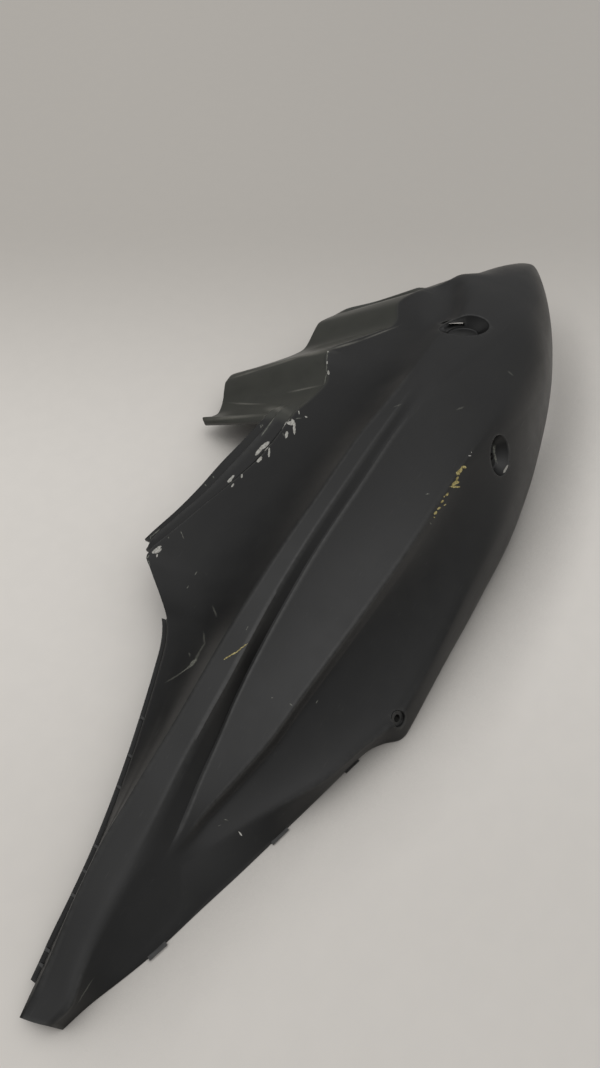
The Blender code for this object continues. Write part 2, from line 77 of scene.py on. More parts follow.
# ------------------------------------------------------------------ camera
EYE = Vector(((17.2 - CENTRE[0]) / 1000, (-144.7 - CENTRE[1]) / 1000, 0.500))
FORWARD = Vector((0.53685, 0.30138, -0.78801)).normalized()
RIGHT = FORWARD.cross(Vector((0, 0, 1))).normalized()
UP = RIGHT.cross(FORWARD)
FOCAL, PICTURE = 802.0, (600, 1068)

lens = bpy.data.cameras.new("camera")
lens.sensor_fit = "VERTICAL"
lens.sensor_height = 36.0
lens.lens = 36.0 * FOCAL / PICTURE[1]
lens.clip_start = 0.01
camera = bpy.data.objects.new("camera", lens)
bpy.context.scene.collection.objects.link(camera)
camera.matrix_world = Matrix.Translation(EYE) @ Matrix((RIGHT, UP, -FORWARD)).transposed().to_4x4()
bpy.context.scene.camera = camera


def sight(u, v):
    """The direction in which the camera sees the picture's point (u, v)."""
    along = FORWARD * FOCAL + RIGHT * (u - PICTURE[0] / 2) - UP * (v - PICTURE[1] / 2)
    return along.normalized()


# ------------------------------------------------------------------ fair lines
def fair(*points):
    """A line through control points (x, value, ...) that never overshoots them."""
    p = np.array(points, float)
    x, y = p[:, 0], p[:, 1:]
    h = np.diff(x)[:, None]
    d = np.diff(y, axis=0) / h
    m = np.zeros_like(y)
    m[0], m[-1] = d[0], d[-1]
    w1, w2 = 2 * h[1:] + h[:-1], h[1:] + 2 * h[:-1]
    same = d[:-1] * d[1:] > 0
    weighted = np.where(same, w1 * d[1:] + w2 * d[:-1], 1.0)
    m[1:-1] = np.where(same, (w1 + w2) * d[:-1] * d[1:] / weighted, 0.0)

    def at(q):
        q = float(min(max(q, x[0]), x[-1]))
        k = int(min(max(np.searchsorted(x, q, side="right") - 1, 0), len(x) - 2))
        t = (q - x[k]) / h[k, 0]
        return (
            (2 * t**3 - 3 * t**2 + 1) * y[k]
            + (t**3 - 2 * t**2 + t) * h[k] * m[k]
            + (3 * t**2 - 2 * t**3) * y[k + 1]
            + (t**3 - t**2) * h[k] * m[k + 1]
        )

    return at


def ease(a, b, x):
    t = min(max((x - a) / (b - a), 0.0), 1.0)
    return t * t * (3 - 2 * t)


# Fore-and-aft lines of the skin, as (x, y, z).
LOW_EDGE = fair(
    (-3, -7.5, 0), (13, -12.4, 0), (36, -21, 0), (64, -31, 0), (88, -38.5, 0),
    (117, -48, 0), (148, -57.5, 0), (181, -67.5, 0), (212, -76.5, 0), (222, -80, 0),
    (232, -87, 0), (240, -95.5, 0), (246, -97.5, 0), (266, -98, 0), (301, -98.5, 0),
    (352, -100, 0), (411, -100.5, 0), (472, -96.5, 1), (526, -89.5, 2),
    (569, -82, 4), (622, -66, 6), (655, -51, 9), (688, -31.5, 13), (711, -17, 19),
    (LENGTH, -7, 28),
)
CREASE = fair(
    (100, -18.6, 12), (106, -21, 12.3), (125, -31, 13), (149, -44.3, 14),
    (171, -58, 14.5), (187, -67.5, 15), (215, -78, 15), (247, -89.2, 15.5),
    (276, -91.8, 18), (308, -92.8, 22), (352, -93, 27.5), (400, -94.5, 33),
    (500, -88, 41), (620, -60, 45),
)
STEP_FOOT = fair(
    (100, -14.6, 14.8), (126, -18.4, 17.6), (155, -25.8, 22.2), (185, -33, 28.3),
    (215, -37, 34.8), (256, -43, 43.8), (301, -49.4, 53.6), (336, -53.8, 60.4),
    (380, -57.4, 67.2), (429, -60.5, 73), (500, -64, 78), (620, -50, 80),
)
BLADE_EDGE = fair(
    (100, -12.5, 17.5), (126, -15.5, 24), (155, -22.6, 30), (185, -29.8, 36.5),
    (215, -33.8, 43), (256, -39.8, 52), (301, -46, 62), (336, -50, 69),
    (380, -52.7, 76), (429, -54, 82), (466, -54, 86), (500, -51, 89),
    (620, -38, 88),
)
BLADE_RIM = fair(
    (100, -10.8, 19), (121, -8.9, 26), (145, -5.4, 32), (169, -2.8, 38),
    (194, 0, 45), (220, 1.6, 52), (249, 2.2, 60), (286, 2, 70), (318, 0.8, 78),
    (358, -1.5, 85.5), (421, -3.5, 94), (486, -5, 100), (620, -14, 97),
)
GROOVE = fair(
    (100, -9, 19), (121, -7, 25.4), (145, -3.6, 31.3), (169, -1.2, 37.2),
    (194, 1.7, 44.2), (220, 3.4, 51.3), (249, 4, 59.4), (286, 3.8, 69.4),
    (318, 2.5, 77.3), (358, 0.4, 84.7), (421, -1.6, 93.2), (486, -3, 99.6),
    (620, -10, 97.5),
)
CREST_LOW = fair(
    (-3, -2.5, 9), (9, -7, 12), (25, -3.2, 16), (43, 0, 20), (64, 1.2, 25),
    (85, 1.7, 29.2), (108, 3, 34), (145, 5.8, 42.7), (170, 6.6, 49.8),
    (198, 7.1, 56.5), (225, 8.1, 63.5), (262, 9.3, 71), (301, 8.8, 79.2),
    (336, 7.4, 86), (372, 6, 91.3), (431, 4, 98.4), (500, 4, 102.5), (620, -1, 98),
)
CREST_HIGH = fair(
    (-3, 12, 9), (25, 16, 15), (60, 22.5, 24), (93, 25.5, 31), (112, 25, 35.5),
    (137, 24.5, 42), (164, 24, 48.5), (192, 24.2, 55.5), (217, 24.4, 61.5),
    (250, 23.6, 69.3), (289, 22.5, 77.3), (313, 21.2, 82), (344, 19.6, 87.3),
    (386, 18.4, 93.2), (418, 15, 97), (449, 12.5, 99.8), (500, 10, 102),
    (620, 6, 98),
)
TOP_EDGE = fair(
    (-3, 14, 8), (13, 17, 9), (24, 18.7, 10.6), (32.6, 19.9, 13), (55.6, 22.8, 17),
    (76.6, 25.9, 20.5), (102.9, 31.3, 25), (136.9, 40.3, 29.5), (161.6, 48.1, 32),
    (189.6, 57.9, 34), (212, 66.9, 35.5), (226, 76.5, 36.5), (236, 88, 39.5), (250, 106, 43.5),
    (257, 114, 46), (262, 114, 47), (276, 111, 48), (289, 107.3, 49.3),
    (309, 102.3, 51.3), (327, 97.3, 53), (347, 92, 55), (371, 87, 57.5),
    (395, 85.5, 61), (416, 85, 63.5), (436, 80, 66), (456, 77.5, 68),
    (461, 79, 69.5), (478, 89, 76.5), (484, 88.5, 78), (500, 79, 78.5),
    (522, 63, 80), (533, 56.3, 80.5), (538, 56, 81), (558, 63.3, 84.5),
    (566, 62, 85), (616, 35.5, 84), (636, 31, 66), (657, 25, 56),
    (680, 15, 48), (704, 3, 40), (LENGTH, -6, 33),
)
SPINE = fair(
    (-3, 5, 10), (440, 2, 99.5), (500, 2, 103), (560, -3, 101.5), (612, -7, 94.5),
    (650, -10.5, 86.5), (680, -11.5, 75.5), (704, -10, 59.5), (LENGTH, -6.5, 36),
)

# The seat rail steps down twice; the ledge runs on from its end.
RAIL_MID = fair(
    (257, 119, 44), (262, 118.6, 44), (271, 120.6, 43.5), (295, 116, 46), (319, 110, 48.5),
    (366, 104, 53), (408, 99.5, 57.5),
)
RAIL_OUT = fair(
    (257, 129, 38.5), (274, 127, 40), (307, 120.5, 43), (330, 117.3, 45.5),
    (355, 115.3, 48), (379, 112.2, 50.5), (408, 108.3, 54),
)
# Free edge of the stepped ledge: (x of the section it leaves from, x, y, z).
LEDGE_FREE = fair(
    (408, 413, 172, 14), (416, 418, 177, 15), (424, 423, 172, 14),
    (440, 430, 169, 14), (450, 436, 170, 15), (460, 443, 172, 18),
    (468, 450, 175, 22), (476, 458, 178, 24.5), (484, 465, 178, 25.5),
    (500, 481, 166, 26.5), (533, 527, 138, 27.5), (540, 532, 137.5, 28.5),
    (558, 557, 139.5, 35), (566, 565, 136, 36.5), (616, 607, 100, 40),
)

NOSE_SHARE = (0.0, 0.2, 0.38, 0.55, 0.72, 0.86)
TAIL_SHARE = (0.0, 0.16, 0.32, 0.47, 0.72, 0.80, 0.88, 1.0, 1.5, 2.0)
BLADE_LINES = (None, CREASE, STEP_FOOT, BLADE_EDGE, BLADE_RIM, GROOVE)

# Radius of the rounding on each line, as (x, radius).
ROUNDING = (
    fair((-3, 3), (100, 2.6), (200, 3), (300, 7), (400, 16), (500, 22)),
    fair((-3, 3), (100, 4), (140, 2.5), (200, 2.6), (300, 3.4), (400, 9), (500, 22)),
    fair((-3, 3), (100, 3), (140, 1.7), (250, 1.9), (330, 2.2), (400, 4), (460, 9), (500, 18)),
    fair((-3, 3), (100, 2), (140, 1.2), (250, 1.1), (330, 1.3), (440, 2), (500, 10)),
    fair((-3, 3), (100, 2), (140, 1.1), (250, 1.0), (330, 1.2), (440, 2), (500, 10)),
    fair((-3, 4), (40, 6), (85, 7.5), (125, 3.4), (170, 2.2), (250, 1.8), (440, 2.2), (500, 10)),
    fair((-3, 3), (60, 3.5), (125, 2.6), (250, 1.8), (330, 1.8), (440, 2.4), (500, 10)),
    fair((-3, 10), (500, 18)),
)
# How far each stretch between two lines bows out (+) or in (-), of its length.
BOW = (
    fair((-3, 0.02), (150, 0.03), (300, 0.08), (450, 0.12)),
    fair((-3, 0), (100, 0), (200, -0.05), (330, -0.07), (430, -0.02), (500, 0)),
    fair((-3, 0), (500, 0)),
    fair((-3, 0), (150, 0), (200, -0.02), (260, -0.035), (340, -0.035), (430, -0.01), (500, 0.02)),
    fair((-3, 0), (500, 0)),
    fair((-3, 0), (500, 0)),
    fair((-3, 0), (500, 0)),
    fair((-3, 0), (150, -0.04), (450, -0.05), (560, 0)),
    fair((-3, 0), (150, -0.02), (450, -0.02), (560, 0)),
)
# The dip's line over the skin, its half widths on either side, and its depth at either end.
DIP = ((603.0, 37.0), (538.0, 12.0))
DIP_WIDTH = (11.0, 15.0)
DIP_DEPTH = (7.0, 5.5)
STRETCHES = len(BOW)
DENSE = 40  # points worked out on each stretch before the mesh picks from them


def nose_profile(q):
    return 0.9 * q + 0.1 * q**3


def hollow_beside_ledge(x, y):
    """How far the skin dips between the ledge's rear corner and the rear seat."""
    (x0, y0), (x1, y1) = DIP
    across = ((x - x0) * (y1 - y0) - (y - y0) * (x1 - x0)) / np.hypot(x1 - x0, y1 - y0)
    along = ((x - x0) * (x1 - x0) + (y - y0) * (y1 - y0)) / ((x1 - x0) ** 2 + (y1 - y0) ** 2)
    steep = np.where(across < 0, DIP_WIDTH[0], DIP_WIDTH[1])
    ends = 1 / (1 + np.exp(-(along - 0.06) / 0.06)) / (1 + np.exp((along - 0.98) / 0.09))
    depth = DIP_DEPTH[0] + (DIP_DEPTH[1] - DIP_DEPTH[0]) * np.clip(along, 0, 1)
    return depth * np.exp(-np.abs(across / steep) ** 2.6) * ends


def feature_points(x):
    """The ten points (y, z) of the section at x, from the low edge to the top edge."""
    low, crest_low, crest_high, top = LOW_EDGE(x), CREST_LOW(x), CREST_HIGH(x), TOP_EDGE(x)
    blade = ease(78, 104, x)
    points = []
    for q, own in zip(NOSE_SHARE, BLADE_LINES):
        # ahead of the blade the face is nearly flat, and the blade swells out of it
        rise = crest_low - low
        plain = low + rise * np.array([q, nose_profile(q)])
        if own is not None:
            swollen = own(x)
            share = (swollen[0] - low[0]) / rise[0]
            flush = low[1] + rise[1] * nose_profile(share)
            swollen = np.array([swollen[0], flush + (swollen[1] - flush) * ease(94, 122, x)])
            plain = plain * (1 - blade) + swollen * blade
        points.append(plain)
    span = top - crest_high
    sag = 0.10 * ease(20, 200, x) * (1 - ease(480, 600, x))
    middle = crest_high + 0.5 * span - np.array([0.0, sag * abs(span[0])])
    return np.array(points + [crest_low, crest_high, middle, top])


def spread(points, shares):
    """Points at these shares of the curve's length."""
    s = np.concatenate([[0], np.cumsum(np.linalg.norm(np.diff(points, axis=0), axis=1))])
    return np.stack([np.interp(shares * s[-1], s, points[:, k]) for k in (0, 1)], 1)


def tail_section(x):
    """The tail's smooth bulging section, up from the low edge, over and down to the top edge."""
    low, spine, top = LOW_EDGE(x), SPINE(x), TOP_EDGE(x)
    a = np.linspace(0, np.pi / 2, 120)
    e = 2 / (2.15 - 0.25 * ease(650, LENGTH, x))
    outer = np.stack(
        [
            low[0] + (spine[0] - low[0]) * (1 - np.cos(a) ** e),
            low[1] + (spine[1] - low[1]) * np.sin(a) ** e,
        ],
        1,
    )
    inner = np.stack(
        [
            spine[0] + (top[0] - spine[0]) * np.sin(a),
            top[1] + (spine[1] - top[1]) * np.cos(a),
        ],
        1,
    )
    shares = np.concatenate(
        [
            np.linspace(TAIL_SHARE[k], TAIL_SHARE[k + 1], DENSE, endpoint=False)
            for k in range(STRETCHES)
        ]
        + [[2.0]]
    )
    on_outer = shares <= 1.0
    return np.concatenate([spread(outer, shares[on_outer]), spread(inner, shares[~on_outer] - 1.0)])


def section(x):
    """The rounded section at x, as DENSE points on each stretch."""
    f = feature_points(x)
    rows = []
    for k in range(STRETCHES):
        t = np.linspace(0, 1, DENSE, endpoint=False)[:, None]
        along = f[k + 1] - f[k]
        out = np.array([-abs(along[1]), abs(along[0])]) if k < 3 else np.array([-along[1], along[0]])
        if out[1] < 0:
            out = -out
        rows.append(f[k] + along * t + out * (4 * t * (1 - t)) * float(BOW[k](x)[0]))
    points = np.concatenate(rows + [f[-1:]])
    s = np.concatenate([[0], np.cumsum(np.linalg.norm(np.diff(points, axis=0), axis=1))])
    radii = [float(r(x)[0]) for r in ROUNDING]
    knots = s[::DENSE]
    width = np.interp(s, knots, [radii[0]] + radii + [radii[-1]]) * 0.55
    # an edge keeps its place, so the rounding dies out toward both ends
    width = np.minimum(width, np.maximum(np.minimum(s, s[-1] - s) * 0.45, 0.02))
    long_s = np.concatenate([-s[1:][::-1], s, 2 * s[-1] - s[:-1][::-1]])
    long_p = np.concatenate(
        [2 * points[0] - points[1:][::-1], points, 2 * points[-1] - points[:-1][::-1]]
    )
    weight = np.exp(-((long_s[None] - s[:, None]) ** 2) / (2 * width[:, None] ** 2))
    weight *= np.gradient(long_s)[None]
    rounded = (weight @ long_p) / weight.sum(1)[:, None]
    lower, upper = ease(400, 600, x), ease(545, 612, x)
    if lower > 0 or upper > 0:
        at = np.linspace(0, 1, len(rounded))
        mix = np.interp(at, [0, 0.55, 0.75, 1.0], [lower, lower, upper, upper])[:, None]
        rounded = rounded * (1 - mix) + tail_section(x) * mix
    rounded[:, 1] -= hollow_beside_ledge(x, rounded[:, 0])
    return rounded


def skin_row(x, picks):
    """Points (x, y, z) of the skin's section; the front end is cut on a slant and bulges a little."""
    yz = section(x)[picks]
    share = 1 - (yz[:, 0] - yz[0, 0]) / max(yz[-1, 0] - yz[0, 0], 1e-6)
    share = np.clip(share, 0, 1)
    slant = 6.5 * (1 - ease(-3, 60, x)) * share
    bulge = (0.5 + 3.0 * share * (1 - share)) * (1 - ease(-3, 45, x))
    return np.column_stack([x + slant - bulge, yz])


def flange_row(x):
    """Rim flange at the front: a small step down and a narrow strip."""
    y, z = TOP_EDGE(x)
    return [(x, y + 0.9, z - 2.2), (x, y + 1.6, z - 2.4), (x, y + 4.6, z - 3.0)]


def rail_row(x):
    """The seat rail: two steps down from the skin's top edge."""
    top, middle, out = TOP_EDGE(x), RAIL_MID(x), RAIL_OUT(x)
    first = top + (middle - top) * np.array([0.16, 0.8])
    second = middle + (out - middle) * np.array([0.16, 0.8])
    reach = 2 if x < RAIL_FULL else 4  # the outer step starts a little later
    return [(x, *p) for p in (first, middle, second, out)][:reach]


def ledge_row(x, shares):
    """The stepped ledge: from the skin's top edge out to its free edge."""
    start = np.array([x, *TOP_EDGE(x)])
    end = LEDGE_FREE(x)
    near = (0.045, 0.165, 0.20, 0.262)
    rail = np.array(rail_row(min(x, LEDGE_START)))
    rail[:, 0] = x
    rail[:, 1:] += TOP_EDGE(x) - TOP_EDGE(LEDGE_START)
    stepped = 1 - ease(LEDGE_START, LEDGE_START + 30, x)
    rows = []
    for q, share in enumerate(list(near) + list(shares)):
        p = start + (end - start) * share
        if q < 4:
            p = p * (1 - stepped) + rail[q] * stepped
        # upturned lip round the rear corner
        lip = max(ease(603, 610, x), ease(0.88, 0.95, share) * ease(572, 588, x))
        p = p + np.array([0, 0, 3.5 * lip * ease(0.35, 0.5, share)])
        rows.append(tuple(p))
    return rows


# ------------------------------------------------------------------ the finer skin
# Where the columns stand on each stretch of the section, as shares of it.
COLUMNS = (
    (0, 0.05, 0.13, 0.23, 0.34, 0.45, 0.55, 0.65, 0.75, 0.85, 0.94),
    (0, 0.06, 0.13, 0.22, 0.32, 0.42, 0.52, 0.62, 0.72, 0.82, 0.90, 0.96),
    (0, 0.07, 0.18, 0.33, 0.50, 0.67, 0.82, 0.93),
    (0, 0.03, 0.07, 0.13, 0.22, 0.32, 0.42, 0.52, 0.62, 0.72, 0.82, 0.90, 0.95, 0.98),
    (0, 0.3, 0.65),
    (0, 0.3, 0.65),
    (0, 0.10, 0.20, 0.35, 0.50, 0.65, 0.80, 0.90),
    (0, 0.05, 0.12, 0.22, 0.34, 0.46, 0.58, 0.70, 0.82, 0.92),
    (0, 0.10, 0.20, 0.30, 0.40, 0.50, 0.60, 0.70, 0.79, 0.86),
)
NEAR_EDGE = (1.0, 0.62, 0.36, 0.18, 0.08)  # of the last 4 mm before the top edge
SOFTEN = 0.5  # how softly the small steps and edges are rounded


def frange(a, b, step):
    return list(np.linspace(a, b, max(2, round((b - a) / step) + 1)))


def fine_stations():
    xs = frange(-3, FLANGE_START, 2.7)
    xs += frange(FLANGE_START, FLANGE_END, 2.6)
    xs += frange(FLANGE_END, RAIL_START, 2.3)
    xs += frange(RAIL_START, RAIL_FULL, 2.4)
    xs += frange(RAIL_FULL, LEDGE_START, 2.6)
    xs += frange(LEDGE_START, LEG_START, 1.9)
    xs += frange(LEG_START, LEG_END, 2.0)
    xs += frange(LEG_END, LEDGE_END, 1.5)
    rest = LENGTH - LEDGE_END
    xs += [LENGTH - rest * (1 - t) ** 1.7 for t in np.linspace(0, 1, 46)]
    out = [xs[0]]
    for x in xs[1:]:
        if x > out[-1] + 1e-6:
            out.append(float(x))
    return out


def edge_strip(x):
    """The flange, rail, ledge and leg at x as one line from the top edge out, and where its corners are."""
    start = [(x, *TOP_EDGE(x))]
    if FLANGE_START <= x <= FLANGE_END:
        line = start + flange_row(x)
        return line, list(range(len(line)))
    if RAIL_START <= x < LEDGE_START:
        line = start + rail_row(x)
        return line, list(range(len(line)))
    if LEDGE_START <= x <= LEDGE_END:
        shares = list(np.linspace(0.262, 1.0, 50)[1:])
        line = start + ledge_row(x, shares)
        corners = [0, 1, 2, 3, 4, len(line) - 1]
        if LEG_START <= x <= LEG_END:
            foot = np.array(line[-1])
            line = line + [tuple(foot + (0, 1.5, -0.45 * foot[2])), (foot[0], foot[1] + 3, 0.0)]
            corners += [len(line) - 2, len(line) - 1]
        return line, corners
    return start, [0]


def softened(line, s, at, width):
    """Points of a line at these distances along it, with its corners rounded."""
    step = 0.2
    grid = np.arange(at.min() - 4 * width, at.max() + 4 * width + step, step)
    inside = np.clip(grid, 0, s[-1])
    points = np.stack([np.interp(inside, s, line[:, k]) for k in range(3)], 1)
    past = grid > s[-1]
    if past.any():
        back = np.stack([np.interp(2 * s[-1] - grid[past], s, line[:, k]) for k in range(3)], 1)
        points[past] = 2 * line[-1] - back
    weight = np.exp(-((grid[None] - at[:, None]) ** 2) / (2 * width**2))
    return (weight @ points) / weight.sum(1)[:, None]


def fine_row(x):
    """The columns' points at x: the skin's, then the strip's."""
    yz = section(x)
    share = 1 - (yz[:, 0] - yz[0, 0]) / max(yz[-1, 0] - yz[0, 0], 1e-6)
    share = np.clip(share, 0, 1)
    slant = 6.5 * (1 - ease(-3, 60, x)) * share
    slant = slant - (0.5 + 3.0 * share * (1 - share)) * (1 - ease(-3, 45, x))
    skin = np.column_stack([x + slant, yz])
    at = np.array([(k + q) * DENSE for k, row in enumerate(COLUMNS) for q in row])
    index = np.arange(len(skin))
    columns = np.stack([np.interp(at, index, skin[:, k]) for k in range(3)], 1)
    s = np.concatenate([[0], np.cumsum(np.linalg.norm(np.diff(skin, axis=0), axis=1))])
    last = s[-1] - s[(STRETCHES - 1) * DENSE]
    reach = min(4.0, 0.12 * last)
    strip, corners = edge_strip(x)
    strip = np.array(strip, float)
    strip = strip + (skin[-1] - strip[0])[None] * np.linspace(1, 0, len(strip))[:, None] if len(strip) > 1 else strip
    line = np.concatenate([skin[-DENSE:-1], [skin[-1]], strip[1:]]) if len(strip) > 1 else skin[-DENSE:]
    sl = np.concatenate([[0], np.cumsum(np.linalg.norm(np.diff(line, axis=0), axis=1))])
    corner = sl[DENSE - 1]
    if len(strip) == 1:
        near = corner - reach * np.array(NEAR_EDGE)
        before = np.stack([np.interp(near, sl, line[:, k]) for k in range(3)], 1)
        return np.concatenate([columns, before, skin[-1:]]), None
    marks = sl[DENSE - 1 + np.array(corners)]
    out = []
    for a, b in zip(marks[:4][:-1], marks[:4][1:]) if len(marks) == 4 else zip(marks[:5][:-1], marks[:5][1:]):
        e = min(0.9, 0.28 * (b - a))
        out += [a + 0.4 * e, a + e, (a + b) / 2, b - e, b - 0.4 * e, b]
    if len(marks) > 5:
        a, b = marks[4], marks[5]
        e = min(0.9, 0.1 * (b - a))
        out += [a + 0.5 * e] + list(np.linspace(a + e, b - 1.6, 24)) + [b - 0.7, b]
    if len(marks) > 6:
        for a, b in zip(marks[5:-1], marks[6:]):
            out += [a + 0.6, a + 1.5] + list(np.linspace(a + 3.0, b - 0.6, 5)) + [b]
    near = corner - reach * np.array(NEAR_EDGE)
    at = np.concatenate([near, [corner], out])
    soft = softened(line, sl, at, SOFTEN)
    # where the section is tight the softening gives way before the inner columns
    hold = np.clip((corner - near) / max(reach, 1e-6), 0, 1)[:, None] ** 2
    plain = np.stack([np.interp(near, sl, line[:, k]) for k in range(3)], 1)
    soft[: len(near)] = soft[: len(near)] * (1 - hold) + plain * hold
    return np.concatenate([columns, soft]), len(columns) + len(near)


def outer_skin():
    """The outer surface: points (n, 3) in millimetres and four-sided faces, outward."""
    xs = fine_stations()
    rows = [fine_row(x) for x in xs]
    wide = len(rows[0][0]) if rows[0][1] is None else rows[0][1] + 1
    points, first = [], []
    for row, _ in rows:
        first.append(len(points))
        points += list(row)
    faces = []
    for i in range(len(xs) - 1):
        a, b = first[i], first[i + 1]
        n = wide - 1
        for j in range(n):
            faces.append((a + j, b + j, b + j + 1, a + j + 1))
        gap = xs[i + 1] > FLANGE_END and xs[i] < RAIL_START
        both = min(len(rows[i][0]), len(rows[i + 1][0]))
        if not gap:
            for j in range(n, both - 1):
                faces.append((a + j, b + j, b + j + 1, a + j + 1))
    points, faces = np.array(points), np.array(faces)
    used = np.unique(faces)
    renumber = np.full(len(points), -1)
    renumber[used] = np.arange(len(used))
    points, faces = points[used], renumber[faces]
    normal = np.cross(points[faces[:, 2]] - points[faces[:, 0]], points[faces[:, 3]] - points[faces[:, 1]])
    if normal[:, 2].sum() < 0:
        faces = faces[:, ::-1]
    return points, faces


def point_normals(points, faces):
    across = np.cross(points[faces[:, 2]] - points[faces[:, 0]], points[faces[:, 3]] - points[faces[:, 1]])
    across /= np.linalg.norm(across, axis=1)[:, None] + 1e-12
    normals = np.zeros_like(points)
    for k in range(4):
        for c in range(3):
            normals[:, c] += np.bincount(faces[:, k], across[:, c], len(points))
    return normals / (np.linalg.norm(normals, axis=1)[:, None] + 1e-12)


def thick_skin(points, faces):
    """A closed shell: the outer surface, an inner one a wall away, and a rounded rim between them."""
    n = len(points)
    normals = point_normals(points, faces)
    ends = np.concatenate([faces[:, [0, 1]], faces[:, [1, 2]], faces[:, [2, 3]], faces[:, [3, 0]]])
    edges = np.unique(np.sort(ends, axis=1), axis=0)
    length = np.linalg.norm(points[edges[:, 0]] - points[edges[:, 1]], axis=1)
    weight = np.exp(-((length / 4.0) ** 2))
    inward = normals.copy()
    for _ in range(60):
        more = inward.copy()
        for c in range(3):
            more[:, c] += np.bincount(edges[:, 0], weight * inward[edges[:, 1], c], n)
            more[:, c] += np.bincount(edges[:, 1], weight * inward[edges[:, 0], c], n)
        inward = more / (np.linalg.norm(more, axis=1)[:, None] + 1e-12)
    inner = points - WALL * inward
    # the rim: each edge that only one face has
    key = np.sort(ends, axis=1)
    _, where, count = np.unique(key, axis=0, return_inverse=True, return_counts=True)
    rim = ends[count[where.reshape(-1)] == 1]
    outward = np.zeros_like(points)
    for a, b in rim:
        along = points[b] - points[a]
        out = np.cross(along, normals[a] + normals[b])
        out /= np.linalg.norm(out) + 1e-12
        outward[a] += out
        outward[b] += out
    on_rim = np.linalg.norm(outward, axis=1) > 1e-9
    outward[on_rim] /= np.linalg.norm(outward[on_rim], axis=1)[:, None]
    around = np.flatnonzero(on_rim)
    number = np.full(n, -1)
    number[around] = np.arange(len(around))
    rings = []
    for across, back in ((0.03, 0.14), (0.12, 0.03), (0.30, 0.0), (0.70, 0.0), (0.88, 0.03), (0.97, 0.14)):
        rings.append(points[around] * (1 - across) + inner[around] * across - outward[around] * back)
    top, bottom = points.copy(), inner.copy()
    top[around] -= outward[around] * 0.34
    bottom[around] -= outward[around] * 0.34
    every = np.concatenate([top, bottom] + rings)
    every[:, 2] = np.maximum(every[:, 2], 0.0)
    made = [faces, faces[:, ::-1] + n]
    for a, b in rim:
        i, j = number[a], number[b]
        chain_a = [a] + [2 * n + r * len(around) + i for r in range(len(rings))] + [n + a]
        chain_b = [b] + [2 * n + r * len(around) + j for r in range(len(rings))] + [n + b]
        made.append(
            np.array([(chain_b[r], chain_a[r], chain_a[r + 1], chain_b[r + 1]) for r in range(len(rings) + 1)])
        )
    return every, np.concatenate(made)


# ------------------------------------------------------------------ mesh helpers
def to_frame(p):
    p = np.asarray(p, float)
    return np.column_stack([(p[:, 0] - CENTRE[0]) / 1000, (p[:, 1] - CENTRE[1]) / 1000, p[:, 2] / 1000])


def new_object(name, points, faces):
    mesh = bpy.data.meshes.new(name)
    mesh.from_pydata([tuple(p) for p in points], [], [tuple(int(k) for k in f) for f in faces])
    mesh.update()
    obj = bpy.data.objects.new(name, mesh)
    bpy.context.scene.collection.objects.link(obj)
    return obj


def tidy(obj):
    bm = bmesh.new()
    bm.from_mesh(obj.data)
    bmesh.ops.remove_doubles(bm, verts=bm.verts, dist=1e-7)
    bmesh.ops.dissolve_degenerate(bm, edges=bm.edges, dist=1e-7)
    bmesh.ops.recalc_face_normals(bm, faces=bm.faces)
    bm.to_mesh(obj.data)
    bm.free()
    return obj


class Seat:
    """Millimetre axes on the skin: z is the way out of it, x its long direction."""

    def __init__(self, origin, up, toward):
        z = Vector(up).normalized()
        x = Vector(toward)
        x = (x - z * x.dot(z)).normalized()
        self.axes = Matrix((x, z.cross(x), z)).transposed()
        self.origin = Vector(to_frame([origin])[0])

    def moved(self, a, b):
        other = object.__new__(Seat)
        other.axes, other.origin = self.axes, self.point(a, b, 0)
        return other

    def point(self, a, b, c):
        return self.origin + self.axes @ Vector((a, b, c)) * 0.001

    def height(self, tree, a, b):
        """How high the skin stands over (a, b), in millimetres."""
        hit, _, _, _ = tree.ray_cast(self.point(a, b, 25.0), -(self.axes @ Vector((0, 0, 1))), 0.06)
        return (hit - self.origin).dot(self.axes @ Vector((0, 0, 1))) * 1000 if hit else 0.0


def ringed(name, seat, tree, rings, around=72):
    """A closed solid through ovals (height, half length, half width, share of the skin's own height, slide)."""
    turn = [2 * np.pi * k / around for k in range(around)]
    points, faces = [], []
    for height, long, short, share, slide in rings:
        for t in turn:
            a, b = long * np.cos(t) + slide, short * np.sin(t)
            h = seat.height(tree, a, b) if share else 0.0
            points.append(seat.point(a, b, height + share * h))
    for r in range(len(rings) - 1):
        for k in range(around):
            m = (k + 1) % around
            faces.append((r * around + k, r * around + m, (r + 1) * around + m, (r + 1) * around + k))
    # caps as fans, so that they stay near their rings' own middles
    for r, turned in ((0, True), (len(rings) - 1, False)):
        ring = points[r * around : (r + 1) * around]
        centre = sum(ring, Vector()) / around
        points.append(centre)
        c = len(points) - 1
        for k in range(around):
            m = (k + 1) % around
            face = (c, r * around + k, r * around + m)
            faces.append(face[::-1] if turned else face)
    return tidy(new_object(name, points, faces))


def block(name, seat, low, high):
    corners = [
        seat.point(x, y, z)
        for z in (low[2], high[2])
        for x, y in ((low[0], low[1]), (high[0], low[1]), (high[0], high[1]), (low[0], high[1]))
    ]
    faces = ((3, 2, 1, 0), (4, 5, 6, 7), (0, 1, 5, 4), (1, 2, 6, 5), (2, 3, 7, 6), (3, 0, 4, 7))
    return tidy(new_object(name, corners, faces))


